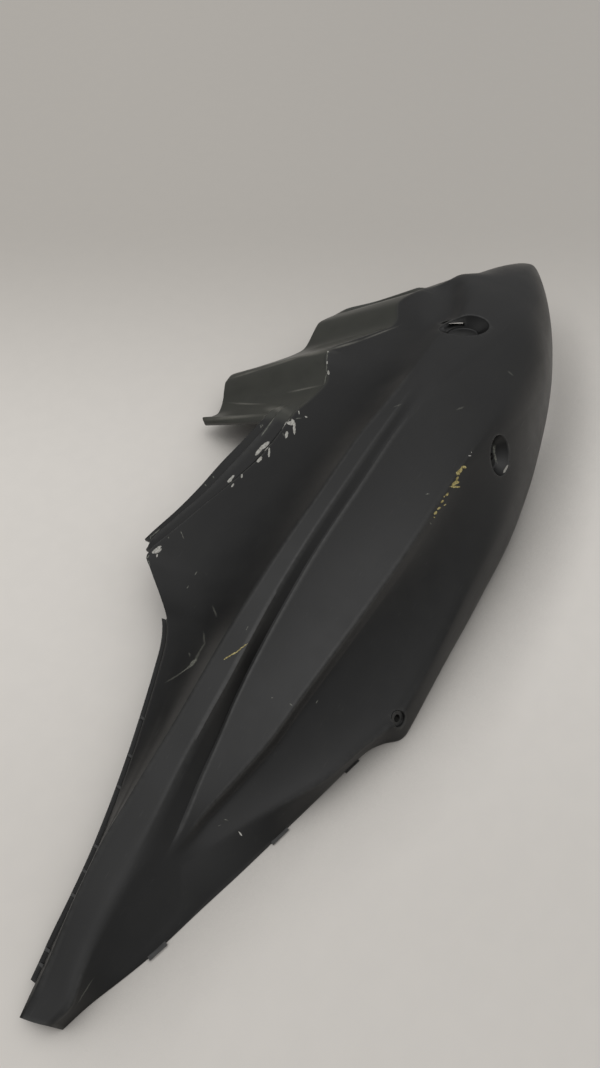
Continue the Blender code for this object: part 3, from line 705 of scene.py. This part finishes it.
def boolean(obj, other, operation):
    """Joins or cuts, and applies the result to the mesh."""
    m = obj.modifiers.new("b", "BOOLEAN")
    m.operation, m.solver, m.object = operation, "MANIFOLD", other
    bpy.context.view_layer.update()
    done = bpy.data.meshes.new_from_object(obj.evaluated_get(bpy.context.evaluated_depsgraph_get()))
    if len(done.polygons) == 0:
        m.solver = "EXACT"
        bpy.context.view_layer.update()
        done = bpy.data.meshes.new_from_object(obj.evaluated_get(bpy.context.evaluated_depsgraph_get()))
    obj.modifiers.clear()
    obj.data = done
    bpy.data.objects.remove(other, do_unlink=True)


def report(what, obj):
    bm = bmesh.new()
    bm.from_mesh(obj.data)
    bad = sum(not e.is_manifold for e in bm.edges)
    tris = sum(len(f.verts) - 2 for f in bm.faces)
    print(f"{what}: {tris} triangles, {bad} open edges, {bm.calc_volume() * 1e6:.1f} cm3")
    bm.free()


# ------------------------------------------------------------------ the panel
points, faces = outer_skin()
skin_tree = BVHTree.FromPolygons([Vector(p) for p in to_frame(points)], [tuple(int(k) for k in f) for f in faces])
shell_points, shell_faces = thick_skin(points, faces)
panel = tidy(new_object("panel_skin", to_frame(shell_points), shell_faces))
report("shell", panel)

rear, side, low = Seat(*REAR_SEAT), Seat(*SIDE_SEAT), Seat(*LOW_SEAT)


def mouth(floor, top, depth, lip, inner=1.5):
    """Rings of a seat's hollow: floor, its soft corner, the flared wall, and a rounded lip on the skin."""
    (fl, fs), (tl, ts) = floor, top
    rings = [(-depth, fl - inner, fs - inner, 0.0, 0)]
    for q in (0.35, 0.7, 1.0):
        t = q * np.pi / 2
        rings.append((-depth + inner * (1 - np.cos(t)) * 0.9, fl - inner + inner * np.sin(t), fs - inner + inner * np.sin(t), 0.0, 0))
    wl, ws = tl - lip, ts - lip
    for q in (0.35, 0.7):
        rings.append(((-depth + inner) * (1 - q) - lip * q, fl + (wl - fl) * q**0.85, fs + (ws - fs) * q**0.85, q, 0))
    for degrees in (0, 22, 44, 62, 76):
        t = np.radians(degrees)
        rings.append((-lip + lip * np.sin(t), wl + lip * (1 - np.cos(t)), ws + lip * (1 - np.cos(t)), 1.0, 0))
    t = np.radians(76)
    far = 0.9
    rings.append((-lip + lip * np.sin(t) + far * np.cos(t), wl + lip * (1 - np.cos(t)) + far * np.sin(t), ws + lip * (1 - np.cos(t)) + far * np.sin(t), 1.0, 0))
    rings.append((6.0, tl + 2.0, ts + 2.0, 1.0, 0))
    return rings


rear_mouth = rear.moved(2, 0)
boolean(panel, ringed("cup", rear_mouth, skin_tree, ((-12.5, 15.5, 10.5, 0, 0), (-9.0, 17.0, 11.8, 0.2, 0), (-1.25, 22.6, 15.9, 1.0, 0))), "UNION")
boolean(panel, ringed("cup", side, skin_tree, ((-13.0, 13.0, 9.4, 0, 0), (-9.0, 14.2, 10.6, 0.2, 0), (-1.25, 18.0, 14.2, 1.0, 0))), "UNION")
boolean(panel, ringed("cup", low, skin_tree, ((-6.5, 6.0, 6.0, 0, 0), (-1.25, 7.0, 7.0, 1.0, 0)), 48), "UNION")
report("cups", panel)
boolean(panel, ringed("cut", rear_mouth, skin_tree, mouth((13.2, 8.4), (21.2, 13.6), 10.0, 1.0)), "DIFFERENCE")
boolean(panel, ringed("cut", side, skin_tree, mouth((10.4, 7.0), (16.3, 12.3), 10.5, 1.0)), "DIFFERENCE")
boolean(panel, ringed("cut", low, skin_tree, ((-1.6, 4.6, 4.6, 0, 0), (-1.45, 5.0, 5.0, 0, 0), (-1.1, 5.2, 5.2, 0, 0), (-0.5, 5.3, 5.3, 1, 0), (-0.15, 5.5, 5.5, 1, 0), (0.05, 6.0, 6.0, 1, 0), (3.0, 6.6, 6.6, 1, 0)), 48), "DIFFERENCE")
boolean(panel, ringed("bore", rear.moved(*REAR_BORE), skin_tree, ((-20.0, BORE, BORE, 0, 0), (-5.0, BORE, BORE, 0, 0)), 36), "DIFFERENCE")
boolean(panel, ringed("bore", side, skin_tree, ((-20.0, BORE, BORE, 0, 0), (-5.0, BORE, BORE, 0, 0)), 36), "DIFFERENCE")
boolean(panel, ringed("bore", low, skin_tree, ((-12.0, 2.6, 2.6, 0, 0), (3.0, 2.6, 2.6, 0, 0)), 36), "DIFFERENCE")
boolean(panel, block("slot", rear, *SLOT), "DIFFERENCE")
report("seats", panel)

for a, b in CLIPS:
    (y0, _), (y1, _) = LOW_EDGE(a), LOW_EDGE(b)
    tongue = Seat(((a + b) / 2, (y0 + y1) / 2, 0), (0, 0, 1), ((b - a), (y1 - y0), 0))
    half = (b - a) / 2
    boolean(panel, block("tongue", tongue, (-half, -1.3, 0.0), (half, 1.5, 0.9)), "UNION")
for x in GUSSETS:
    y, z = TOP_EDGE(x)
    web = Seat((x, y, z), (0, 0, 1), (1, 0, 0))
    boolean(panel, block("web", web, (-0.8, -1.2, -3.4), (0.8, 3.6, -1.3)), "UNION")
report("panel", panel)

# ------------------------------------------------------------------ looks
PAINT_DARK, PAINT_LIGHT = (0.0020, 0.0020, 0.0021, 1), (0.0034, 0.0034, 0.0035, 1)
DUST, RUB = (0.0080, 0.0080, 0.0076, 1), (0.040, 0.040, 0.039, 1)
# colour of the convex edges: partly real paint wear, partly painted highlight along the rounded edges
EDGE_WEAR_AND_HIGHLIGHT, EDGE_WEAR_AND_HIGHLIGHT_SHARE = (0.055, 0.055, 0.053, 1), 0.42
SCUFFED = (0.22, 0.225, 0.19, 1)
LEDGE_PALE = (0.043, 0.044, 0.036, 1)  # the seat's ledge, where the paint has gone dull
# pale colour of the dull smears, which is also the painted sheen on the ledge's front face
DULLED_AND_SHEEN = (0.16, 0.156, 0.135, 1)
PRIMER_DARK, PRIMER_LIGHT = (0.20, 0.155, 0.045, 1), (0.50, 0.43, 0.18, 1)
PLASTIC_DARK, PLASTIC_LIGHT = (0.31, 0.30, 0.27, 1), (0.52, 0.51, 0.475, 1)
PAINT_ROUGH, PAINT_SHEEN = 0.37, 0.44
EDGE_WEAR_AND_HIGHLIGHT_BEND = (60.0, 280.0)  # turn per metre at which an edge begins to lighten with wear and painted highlight, and is fully lightened
RAGGED = 0.0011  # how far the marks' outlines wander, in metres
# floor colours close, near and far: the differences between them are painted light falloff
FLOOR_CLOSE, FLOOR_NEAR, FLOOR_FAR = (0.79, 0.755, 0.71, 1), (0.875, 0.838, 0.79, 1), (0.575, 0.545, 0.505, 1)
FLOOR_FADE = (0.42, 0.85)  # how far ahead of the camera the painted light falloff begins to dim the floor, and ends
SIDE_WAY = (0.68, -0.73, 0.0)  # the tent's brighter side
TENT = ((8.0, 0.17, 0.12), (32.0, 0.41, 0.06), (58.0, 0.63, -0.06), (90.0, 1.62, 0.0))  # elevation, strength, lean
BRIGHTNESS = 1.25
SHADE = 0.66  # how much of its light the floor loses beside the panel

# nothing reaches past the box that the panel fills
low_corner, high_corner = np.array(cad_box[0]), np.array(cad_box[1])
co = np.empty(len(panel.data.vertices) * 3)
panel.data.vertices.foreach_get("co", co)
co = np.clip(co.reshape(-1, 3), low_corner + 1e-6, high_corner - 1e-6)
panel.data.vertices.foreach_set("co", co.ravel())
panel.data.update()

panel.data.shade_smooth()
panel.data.set_sharp_from_angle(angle=np.radians(34))
even = panel.modifiers.new("even_shading", "WEIGHTED_NORMAL")
even.keep_sharp = True

# ------------------------------------------------------------------ worn edges, lightened partly by wear and partly by painted highlight
# How sharply the surface turns outward at each vertex, from 0 (flat or hollow) to 1.
normal = np.empty(len(co) * 3)
panel.data.vertices.foreach_get("normal", normal)
normal = normal.reshape(-1, 3)
ends = np.empty(len(panel.data.edges) * 2, dtype=np.int32)
panel.data.edges.foreach_get("vertices", ends)
ends = ends.reshape(-1, 2)
along = co[ends[:, 1]] - co[ends[:, 0]]
length = np.linalg.norm(along, axis=1)
turn = ((normal[ends[:, 1]] - normal[ends[:, 0]]) * along).sum(1) / np.maximum(length, 2.5e-4) ** 2
turn[length < 1.2e-4] = 0.0
bend = np.zeros(len(co))
np.maximum.at(bend, ends[:, 0], turn)
np.maximum.at(bend, ends[:, 1], turn)
share = np.clip((bend - EDGE_WEAR_AND_HIGHLIGHT_BEND[0]) / (EDGE_WEAR_AND_HIGHLIGHT_BEND[1] - EDGE_WEAR_AND_HIGHLIGHT_BEND[0]), 0, 1)
# the 'worn' attribute marks convex edges that are painted lighter: partly real wear, partly painted highlight
worn = panel.data.attributes.new("worn", "FLOAT", "POINT")
worn.data.foreach_set("value", (share * share * (3 - 2 * share)).astype(np.float32))

# how much each vertex belongs to the ledge behind the seat rail
ledge = np.zeros(len(co))
for k in np.flatnonzero(co[:, 0] > (LEDGE_START - CENTRE[0]) / 1000 - 0.002):
    x, y = co[k, 0] * 1000 + CENTRE[0], co[k, 1] * 1000 + CENTRE[1]
    ledge[k] = min(max((y - float(TOP_EDGE(x)[0]) + 2.0) / 4.0, 0.0), 1.0) * min(max((x - LEDGE_START + 1.0) / 6.0, 0.0), 1.0)
dull = panel.data.attributes.new("ledge", "FLOAT", "POINT")
dull.data.foreach_set("value", ledge.astype(np.float32))

# ------------------------------------------------------------------ chips and scratches
# Each mark is a stroke seen in the picture: from (u, v) to (u, v), and its width.
BARE = (  # paint gone down to the pale plastic, along the seat rail
    (282.4, 428.6, 286.5, 422.5, 2.9), (285.5, 423.0, 291.5, 418.6, 3.2), (288.5, 422.5, 293.5, 424.0, 4.2),
    (292.0, 419.5, 294.6, 426.0, 3.2), (285.0, 424.2, 292.4, 420.6, 4.6), (294.2, 425.0, 294.4, 433.8, 2.5),
    (286.9, 431.8, 286.2, 437.4, 3.2),
    (256.0, 454.6, 262.0, 447.6, 3.4), (260.5, 449.0, 268.0, 442.6, 4.2), (262.5, 448.6, 269.0, 448.6, 5.0),
    (269.2, 448.0, 268.9, 456.8, 2.0), (260.8, 457.3, 258.2, 461.6, 3.8),
    (233.6, 475.6, 230.2, 480.0, 2.3), (230.6, 479.4, 228.6, 481.6, 3.4),
    (241.9, 474.2, 241.7, 477.4, 2.0), (233.4, 484.0, 231.9, 486.6, 1.9),
    (305.2, 416.2, 306.8, 417.4, 1.6), (298.6, 411.0, 299.2, 414.0, 1.2),
    (153.2, 552.3, 160.2, 546.6, 3.0), (155.8, 552.6, 160.4, 549.4, 3.2), (157.0, 554.8, 156.8, 556.8, 1.4),
    (327.6, 351.2, 328.2, 352.0, 1.5), (327.2, 361.8, 327.0, 363.4, 1.5), (328.2, 371.0, 328.8, 374.2, 2.2),
    (471.4, 452.2, 471.6, 452.6, 0.8), (468.8, 455.6, 470.8, 455.8, 1.1),
    (239.0, 831.6, 241.6, 835.6, 1.1),
)
PRIMER = (  # paint gone down to yellow primer, along the blade's lower edge and across the crest
    (461.5, 467.2, 466.0, 467.2, 2.6), (457.4, 474.2, 462.0, 469.0, 3.8), (456.8, 472.6, 459.4, 474.0, 3.4),
    (456.4, 479.2, 458.2, 477.4, 2.5), (452.4, 485.4, 457.2, 481.2, 3.6), (456.0, 483.0, 459.0, 482.0, 2.4),
    (450.2, 486.6, 460.0, 487.0, 2.0),
    (446.2, 495.4, 448.2, 493.6, 2.3), (443.8, 496.8, 444.6, 496.4, 1.2),
    (441.2, 502.4, 443.4, 500.6, 2.4), (444.0, 505.4, 446.0, 504.2, 1.3),
    (437.2, 509.0, 440.4, 507.4, 2.2), (434.6, 513.4, 436.8, 512.2, 3.1), (433.4, 517.0, 435.0, 517.4, 1.2),
    (224.6, 659.2, 231.0, 655.2, 1.5), (230.0, 655.6, 237.5, 651.6, 1.4), (236.5, 652.2, 247.0, 643.6, 1.2),
)
SCUFF = (  # paint marked but not gone through
    (180.0, 673.4, 188.4, 667.6, 1.1), (187.0, 668.6, 192.4, 664.2, 2.2), (190.4, 665.4, 195.6, 660.0, 3.4),
    (318.0, 700.4, 316.4, 703.0, 0.9),
    (180.5, 531.2, 182.4, 534.6, 0.9), (182.2, 534.2, 183.6, 538.6, 0.9), (168.3, 537.0, 168.7, 538.2, 1.2),
    (150.6, 537.0, 159.2, 529.6, 1.3), (150.3, 536.0, 150.7, 539.0, 1.0), (146.4, 558.0, 149.0, 555.6, 1.6),
    (148.4, 560.0, 150.0, 566.0, 1.1), (274.4, 417.4, 268.0, 426.4, 1.4), (268.4, 426.0, 261.4, 435.8, 1.5),
    (260.4, 425.2, 261.2, 428.0, 1.2), (296.2, 418.6, 301.0, 418.0, 0.9),
    (327.4, 352.0, 327.0, 361.0, 0.9), (326.8, 363.0, 326.4, 372.0, 0.9), (326.2, 374.0, 325.2, 379.0, 1.1),
    (325.3, 378.6, 323.9, 384.6, 1.1), (205.0, 484.0, 206.4, 486.0, 1.0), (213.0, 476.0, 214.0, 478.0, 1.0),
    (235.0, 446.4, 236.4, 448.2, 1.0), (262.0, 424.4, 263.0, 426.2, 1.0),
    (195.0, 574.6, 197.0, 571.8, 0.9), (187.0, 588.0, 188.4, 586.0, 0.9),
    (246.0, 630.0, 248.2, 626.4, 0.9), (290.0, 704.0, 292.0, 705.0, 1.0), (271.4, 698.2, 273.0, 697.6, 0.8),
    (426.0, 494.0, 429.0, 493.8, 1.1),
    (224.4, 819.4, 228.0, 820.6, 0.8), (218.4, 826.0, 221.0, 824.6, 0.7),
    (430.0, 522.8, 431.6, 524.0, 0.9), (283.0, 433.0, 283.8, 436.0, 0.9),
    (494.0, 446.0, 494.2, 455.0, 2.6), (494.4, 453.0, 496.8, 463.0, 2.4),
)
FAINT = (  # barely seen scratches
    (167.0, 681.6, 182.0, 672.4, 1.6), (194.8, 661.0, 199.6, 651.4, 2.4), (199.0, 652.4, 204.8, 643.2, 1.8),
    (204.4, 644.0, 203.6, 633.0, 1.8), (212.6, 606.6, 216.6, 616.0, 1.8), (189.0, 653.0, 190.0, 656.0, 1.6),
    (457.0, 409.6, 463.4, 407.0, 1.6), (78.0, 1003.0, 92.6, 979.6, 0.9), (508.4, 371.6, 512.6, 375.0, 1.6),
    (394.0, 407.0, 402.0, 404.0, 0.9),
)
DULL_AND_SHEEN = (  # broad dull, dusty smears along the ledge's edges, where the seat has rubbed; along the ledge's front face they also paint its grazing sheen
    (234.0, 377.4, 262.0, 368.6, 2.4), (262.0, 368.6, 298.0, 357.4, 2.6), (296.0, 357.0, 330.0, 350.6, 5.0),
    (330.0, 349.8, 362.0, 340.0, 2.0), (362.0, 340.0, 396.0, 327.0, 1.6), (352.0, 311.0, 420.0, 290.6, 1.6),
    (206.0, 419.6, 258.0, 415.4, 4.0), (266.0, 408.0, 288.0, 412.0, 9.0), (232.0, 403.0, 262.0, 404.0, 2.0),
    (290.0, 392.0, 318.0, 386.0, 2.0),
)
GLEAM = ((503.6, 472.6, 507.6, 465.4, 2.2),)  # bare, polished plastic inside the side seat, painted pale also as the glint of the seat's inner wall

target = BVHTree.FromObject(panel, bpy.context.evaluated_depsgraph_get())


def stroke_place(u0, v0, u1, v1, width):
    """Middle, axes and half sizes of the flat ellipsoid that a stroke makes on the panel."""
    a, na, _, da = target.ray_cast(EYE, sight(u0, v0))
    b, nb, _, db = target.ray_cast(EYE, sight(u1, v1))
    if a is None or b is None:
        return None
    if na.dot(sight(u0, v0)) > 0:
        na = -na
    if nb.dot(sight(u1, v1)) > 0:
        nb = -nb
    out = (na + nb).normalized()
    long = b - a
    long = (long - out * long.dot(out)).normalized()
    side_way = out.cross(long)
    view = sight((u0 + u1) / 2, (v0 + v1) / 2)
    pixel = (da + db) / 2 / FOCAL
    seen = (side_way - view * view.dot(side_way)).length
    half = width * pixel / 2 / max(seen, 0.35)
    reach = (b - a).length / 2
    return (a + b) / 2, (long, side_way, out), (reach + half * 0.6, half, max(0.0013, reach * 0.25))


# ------------------------------------------------------------------ the paint
paint = bpy.data.materials.new("painted_black")
paint.use_nodes = True
tree = paint.node_tree
shader = tree.nodes["Principled BSDF"]
link = tree.links.new


def node(kind, **settings):
    n = tree.nodes.new(kind)
    for name, value in settings.items():
        setattr(n, name, value)
    return n


def plug(socket, value):
    if isinstance(value, bpy.types.NodeSocket):
        link(value, socket)
    else:
        socket.default_value = value


def maths(operation, a, b=0.0, c=None):
    n = node("ShaderNodeMath", operation=operation)
    plug(n.inputs[0], a)
    plug(n.inputs[1], b)
    if c is not None:
        plug(n.inputs[2], c)
    return n.outputs[0]


def ramp(value, a, b, low=0.0, high=1.0):
    n = node("ShaderNodeMapRange", interpolation_type="SMOOTHSTEP")
    plug(n.inputs["Value"], value)
    n.inputs["From Min"].default_value, n.inputs["From Max"].default_value = a, b
    n.inputs["To Min"].default_value, n.inputs["To Max"].default_value = low, high
    return n.outputs["Result"]


def mixed(share, a, b):
    n = node("ShaderNodeMix", data_type="RGBA")
    plug(n.inputs["Factor"], share)
    plug(n.inputs["A"], a)
    plug(n.inputs["B"], b)
    return n.outputs["Result"]


def noise(vector, scale, detail=3.0, rough=0.5):
    n = node("ShaderNodeTexNoise")
    link(vector, n.inputs["Vector"])
    n.inputs["Scale"].default_value = scale
    n.inputs["Detail"].default_value = detail
    n.inputs["Roughness"].default_value = rough
    return n


place = node("ShaderNodeTexCoord").outputs["Object"]


def stretched(turn, scale):
    n = node("ShaderNodeMapping", vector_type="POINT")
    link(place, n.inputs["Vector"])
    n.inputs["Rotation"].default_value = turn
    n.inputs["Scale"].default_value = scale
    return n.outputs["Vector"]


# the marks' outlines are ragged, so their own coordinates wander a little
wander = node("ShaderNodeVectorMath", operation="MULTIPLY_ADD")
link(noise(place, 520.0, 2.0).outputs["Color"], wander.inputs[0])
wander.inputs[1].default_value = (RAGGED, RAGGED, RAGGED)
wander.inputs[2].default_value = (-RAGGED / 2, -RAGGED / 2, -RAGGED / 2)
ragged = node("ShaderNodeVectorMath", operation="ADD")
link(place, ragged.inputs[0])
link(wander.outputs[0], ragged.inputs[1])


def after(value):
    """The marks' coordinates, once this value is known: it keeps the shader's working space small."""
    n = node("ShaderNodeVectorMath", operation="MULTIPLY_ADD")
    link(value, n.inputs[0])
    n.inputs[1].default_value = (1e-9, 1e-9, 1e-9)
    link(ragged.outputs[0], n.inputs[2])
    return n.outputs[0]


def marks(strokes, vector):
    """How far the surface is from the nearest of these strokes, where 1 is their outline."""
    nearest = None
    for k, stroke in enumerate(strokes):
        found = stroke_place(*stroke)
        if found is None:
            continue
        middle, axes, sizes = found
        if nearest is not None and k % 6 == 0:
            vector = after(nearest)
        m = node("ShaderNodeMapping", vector_type="TEXTURE")
        link(vector, m.inputs["Vector"])
        m.inputs["Location"].default_value = middle
        m.inputs["Rotation"].default_value = Matrix(axes).transposed().to_euler("XYZ")
        m.inputs["Scale"].default_value = sizes
        far = node("ShaderNodeVectorMath", operation="LENGTH")
        link(m.outputs["Vector"], far.inputs[0])
        nearest = far.outputs["Value"] if nearest is None else maths("MINIMUM", nearest, far.outputs["Value"])
    return nearest


bare_far = marks(BARE, ragged.outputs[0])
primer_far = marks(PRIMER, after(bare_far))
scuff_far = marks(SCUFF, after(primer_far))
flecks = noise(place, 1100.0, 2.0, 0.6).outputs["Fac"]
bare = ramp(maths("MULTIPLY_ADD", flecks, 0.35, bare_far), 1.28, 1.08)
primer = ramp(maths("MULTIPLY_ADD", flecks, 0.75, primer_far), 1.44, 1.22)
scuff = maths("MULTIPLY", ramp(scuff_far, 1.25, 0.65), ramp(noise(place, 900.0, 2.0).outputs["Fac"], 0.30, 0.62, 0.25, 1.0))
gleam_far = marks(GLEAM, after(scuff_far))
gleam = ramp(gleam_far, 1.15, 0.8)
dull_and_sheen_far = marks(DULL_AND_SHEEN, after(gleam_far))
faint_far = marks(FAINT, after(dull_and_sheen_far))

broad = noise(place, 9.0, 4.0, 0.55).outputs["Fac"]
mottle = noise(place, 70.0, 4.0, 0.6).outputs["Fac"]
grain = noise(place, 1500.0, 2.0).outputs["Fac"]
# convex edges get a lighter colour, partly for real wear and partly as painted highlight
edge = node("ShaderNodeAttribute", attribute_name="worn").outputs["Fac"]
edge = maths("MULTIPLY", edge, ramp(noise(place, 260.0, 3.0, 0.65).outputs["Fac"], 0.25, 0.70, 0.45, 1.0))

# fine rubbing marks that run along the panel, and a few across it
hair = noise(stretched((0.0, 0.0, -0.55), (26.0, 900.0, 500.0)), 1.0, 2.0).outputs["Fac"]
cross_hair = noise(stretched((0.3, 0.0, 0.75), (40.0, 1100.0, 600.0)), 1.0, 2.0).outputs["Fac"]
rubbed = maths("MULTIPLY", ramp(hair, 0.64, 0.78), ramp(mottle, 0.42, 0.62))
rubbed = maths("MAXIMUM", rubbed, maths("MULTIPLY", ramp(cross_hair, 0.68, 0.80), ramp(broad, 0.5, 0.7)))

colour = mixed(ramp(broad, 0.30, 0.70), PAINT_DARK, PAINT_LIGHT)
colour = mixed(ramp(mottle, 0.35, 0.75, 0.0, 0.35), colour, DUST)
colour = mixed(maths("MULTIPLY", rubbed, 0.30), colour, RUB)
colour = mixed(maths("MULTIPLY", edge, EDGE_WEAR_AND_HIGHLIGHT_SHARE), colour, EDGE_WEAR_AND_HIGHLIGHT)
on_ledge = node("ShaderNodeAttribute", attribute_name="ledge").outputs["Fac"]
colour = mixed(maths("MULTIPLY", on_ledge, ramp(mottle, 0.25, 0.65, 0.78, 0.96)), colour, LEDGE_PALE)
# dull smears: partly real dust and rubbing, partly painted sheen on the ledge's front face
colour = mixed(maths("MULTIPLY", ramp(dull_and_sheen_far, 1.50, 0.10), ramp(mottle, 0.25, 0.65, 0.50, 0.80)), colour, DULLED_AND_SHEEN)
colour = mixed(maths("MULTIPLY", ramp(faint_far, 1.4, 0.4), 0.26), colour, SCUFFED)
colour = mixed(maths("MULTIPLY", scuff, 0.70), colour, SCUFFED)
dirt = ramp(noise(place, 700.0, 3.0, 0.6).outputs["Fac"], 0.35, 0.65)
colour = mixed(primer, colour, mixed(dirt, PRIMER_DARK, PRIMER_LIGHT))
colour = mixed(bare, colour, mixed(dirt, PLASTIC_DARK, PLASTIC_LIGHT))
# the pale spot inside the side seat: bare plastic, and a painted glint on its wall
colour = mixed(gleam, colour, PLASTIC_DARK)
link(colour, shader.inputs["Base Color"])

gloss = maths("ADD", ramp(broad, 0.30, 0.70, PAINT_ROUGH - 0.03, PAINT_ROUGH + 0.03), ramp(mottle, 0.3, 0.7, -0.02, 0.03))
gloss = maths("ADD", gloss, maths("MULTIPLY", rubbed, -0.05))
gloss = maths("ADD", gloss, maths("MULTIPLY", edge, -0.06))
gloss = maths("ADD", gloss, maths("MULTIPLY", maths("MAXIMUM", bare, primer), 0.22))
link(gloss, shader.inputs["Roughness"])
shader.inputs["Specular IOR Level"].default_value = PAINT_SHEEN

peel = noise(place, 420.0, 3.0, 0.5).outputs["Fac"]
relief = maths("MULTIPLY_ADD", grain, 0.10, maths("MULTIPLY", peel, 0.30))
relief = maths("MULTIPLY_ADD", rubbed, -0.10, relief)
bump = node("ShaderNodeBump")
bump.inputs["Strength"].default_value = 0.35
bump.inputs["Distance"].default_value = 0.00012
link(relief, bump.inputs["Height"])
link(bump.outputs["Normal"], shader.inputs["Normal"])

panel.data.materials.clear()
panel.data.materials.append(paint)

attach(panel, "root")
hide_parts("side_panel")

# ------------------------------------------------------------------ floor and light
floor_mesh = bpy.data.meshes.new("floor")
floor_mesh.from_pydata([(-4, -4, 0), (4, -4, 0), (4, 4, 0), (-4, 4, 0)], [], [(0, 1, 2, 3)])
floor = bpy.data.objects.new("floor", floor_mesh)
floor.location = (0, 0, -0.0002)
bpy.context.scene.collection.objects.link(floor)
pale = bpy.data.materials.new("pale_floor")
pale.use_nodes = True
tree = pale.node_tree
link = tree.links.new
shader = tree.nodes["Principled BSDF"]
place = node("ShaderNodeTexCoord").outputs["Object"]


def dot(vector, way, shift=0.0):
    n = node("ShaderNodeVectorMath", operation="DOT_PRODUCT")
    link(vector, n.inputs[0])
    n.inputs[1].default_value = way
    return maths("ADD", n.outputs["Value"], shift)


# painted light falloff: the floor's colour pales toward the viewer and dims away from it
ahead = Vector((FORWARD.x, FORWARD.y, 0)).normalized()
right = Vector((RIGHT.x, RIGHT.y, 0)).normalized()
away = dot(place, ahead, -EYE.dot(ahead))
aside = dot(place, right, -EYE.dot(right))
colour = mixed(ramp(away, *FLOOR_FADE), mixed(ramp(away, 0.08, 0.33), FLOOR_CLOSE, FLOOR_NEAR), FLOOR_FAR)
# painted shade: the floor darkens a little toward the camera's right
colour = mixed(ramp(aside, -0.35, 0.30), colour, mixed(0.10, colour, (0.30, 0.30, 0.30, 1)))
cloth = noise(place, 60.0, 4.0).outputs["Fac"]
colour = mixed(ramp(cloth, 0.3, 0.7, 0.0, 0.03), colour, (0.4, 0.4, 0.39, 1))
# the soft shadow on the side turned from the light
lit_way = node("ShaderNodeVectorMath", operation="NORMALIZE")
lit_way.inputs[0].default_value = ahead * 0.45 - right * 0.75 + Vector((0, 0, 0.45))
near = node("ShaderNodeAmbientOcclusion", samples=12)
near.inputs["Distance"].default_value = 0.062
link(lit_way.outputs["Vector"], near.inputs["Normal"])
link(colour, near.inputs["Color"])
colour = mixed(ramp(near.outputs["AO"], 0.30, 1.0, 0.0, 1.0), mixed(SHADE, colour, (0.05, 0.047, 0.043, 1)), colour)
link(colour, shader.inputs["Base Color"])
shader.inputs["Roughness"].default_value = 0.85
shader.inputs["Specular IOR Level"].default_value = 0.2
floor_mesh.materials.append(pale)

# a soft white tent: dim at the sides, brighter overhead, with a little more from one side
world = bpy.data.worlds.new("tent")
world.use_nodes = True
tree = world.node_tree
link = tree.links.new
background = tree.nodes["Background"]
way = node("ShaderNodeTexCoord").outputs["Generated"]
up = maths("ARCSINE", dot(way, (0, 0, 1)))
turned = maths("DIVIDE", dot(way, SIDE_WAY), maths("MAXIMUM", maths("COSINE", up), 0.05))
strength = None
for k in range(len(TENT)):
    here, own, lean = TENT[k]
    before = TENT[k - 1][0] if k else -60.0
    after = TENT[k + 1][0] if k + 1 < len(TENT) else 121.0
    n = node("ShaderNodeMapRange")
    link(up, n.inputs["Value"])
    n.inputs["From Min"].default_value, n.inputs["From Max"].default_value = np.radians(before), np.radians(here)
    m = node("ShaderNodeMapRange")
    link(up, m.inputs["Value"])
    m.inputs["From Min"].default_value, m.inputs["From Max"].default_value = np.radians(after), np.radians(here)
    hat = maths("MULTIPLY", n.outputs["Result"], m.outputs["Result"])
    part = maths("MULTIPLY", hat, maths("MULTIPLY_ADD", turned, lean, own))
    strength = part if strength is None else maths("ADD", strength, part)
link(maths("MULTIPLY", strength, BRIGHTNESS), background.inputs["Strength"])
background.inputs["Color"].default_value = (1.0, 0.997, 0.99, 1)
bpy.context.scene.world = world

bpy.context.scene.view_settings.view_transform = "Standard"
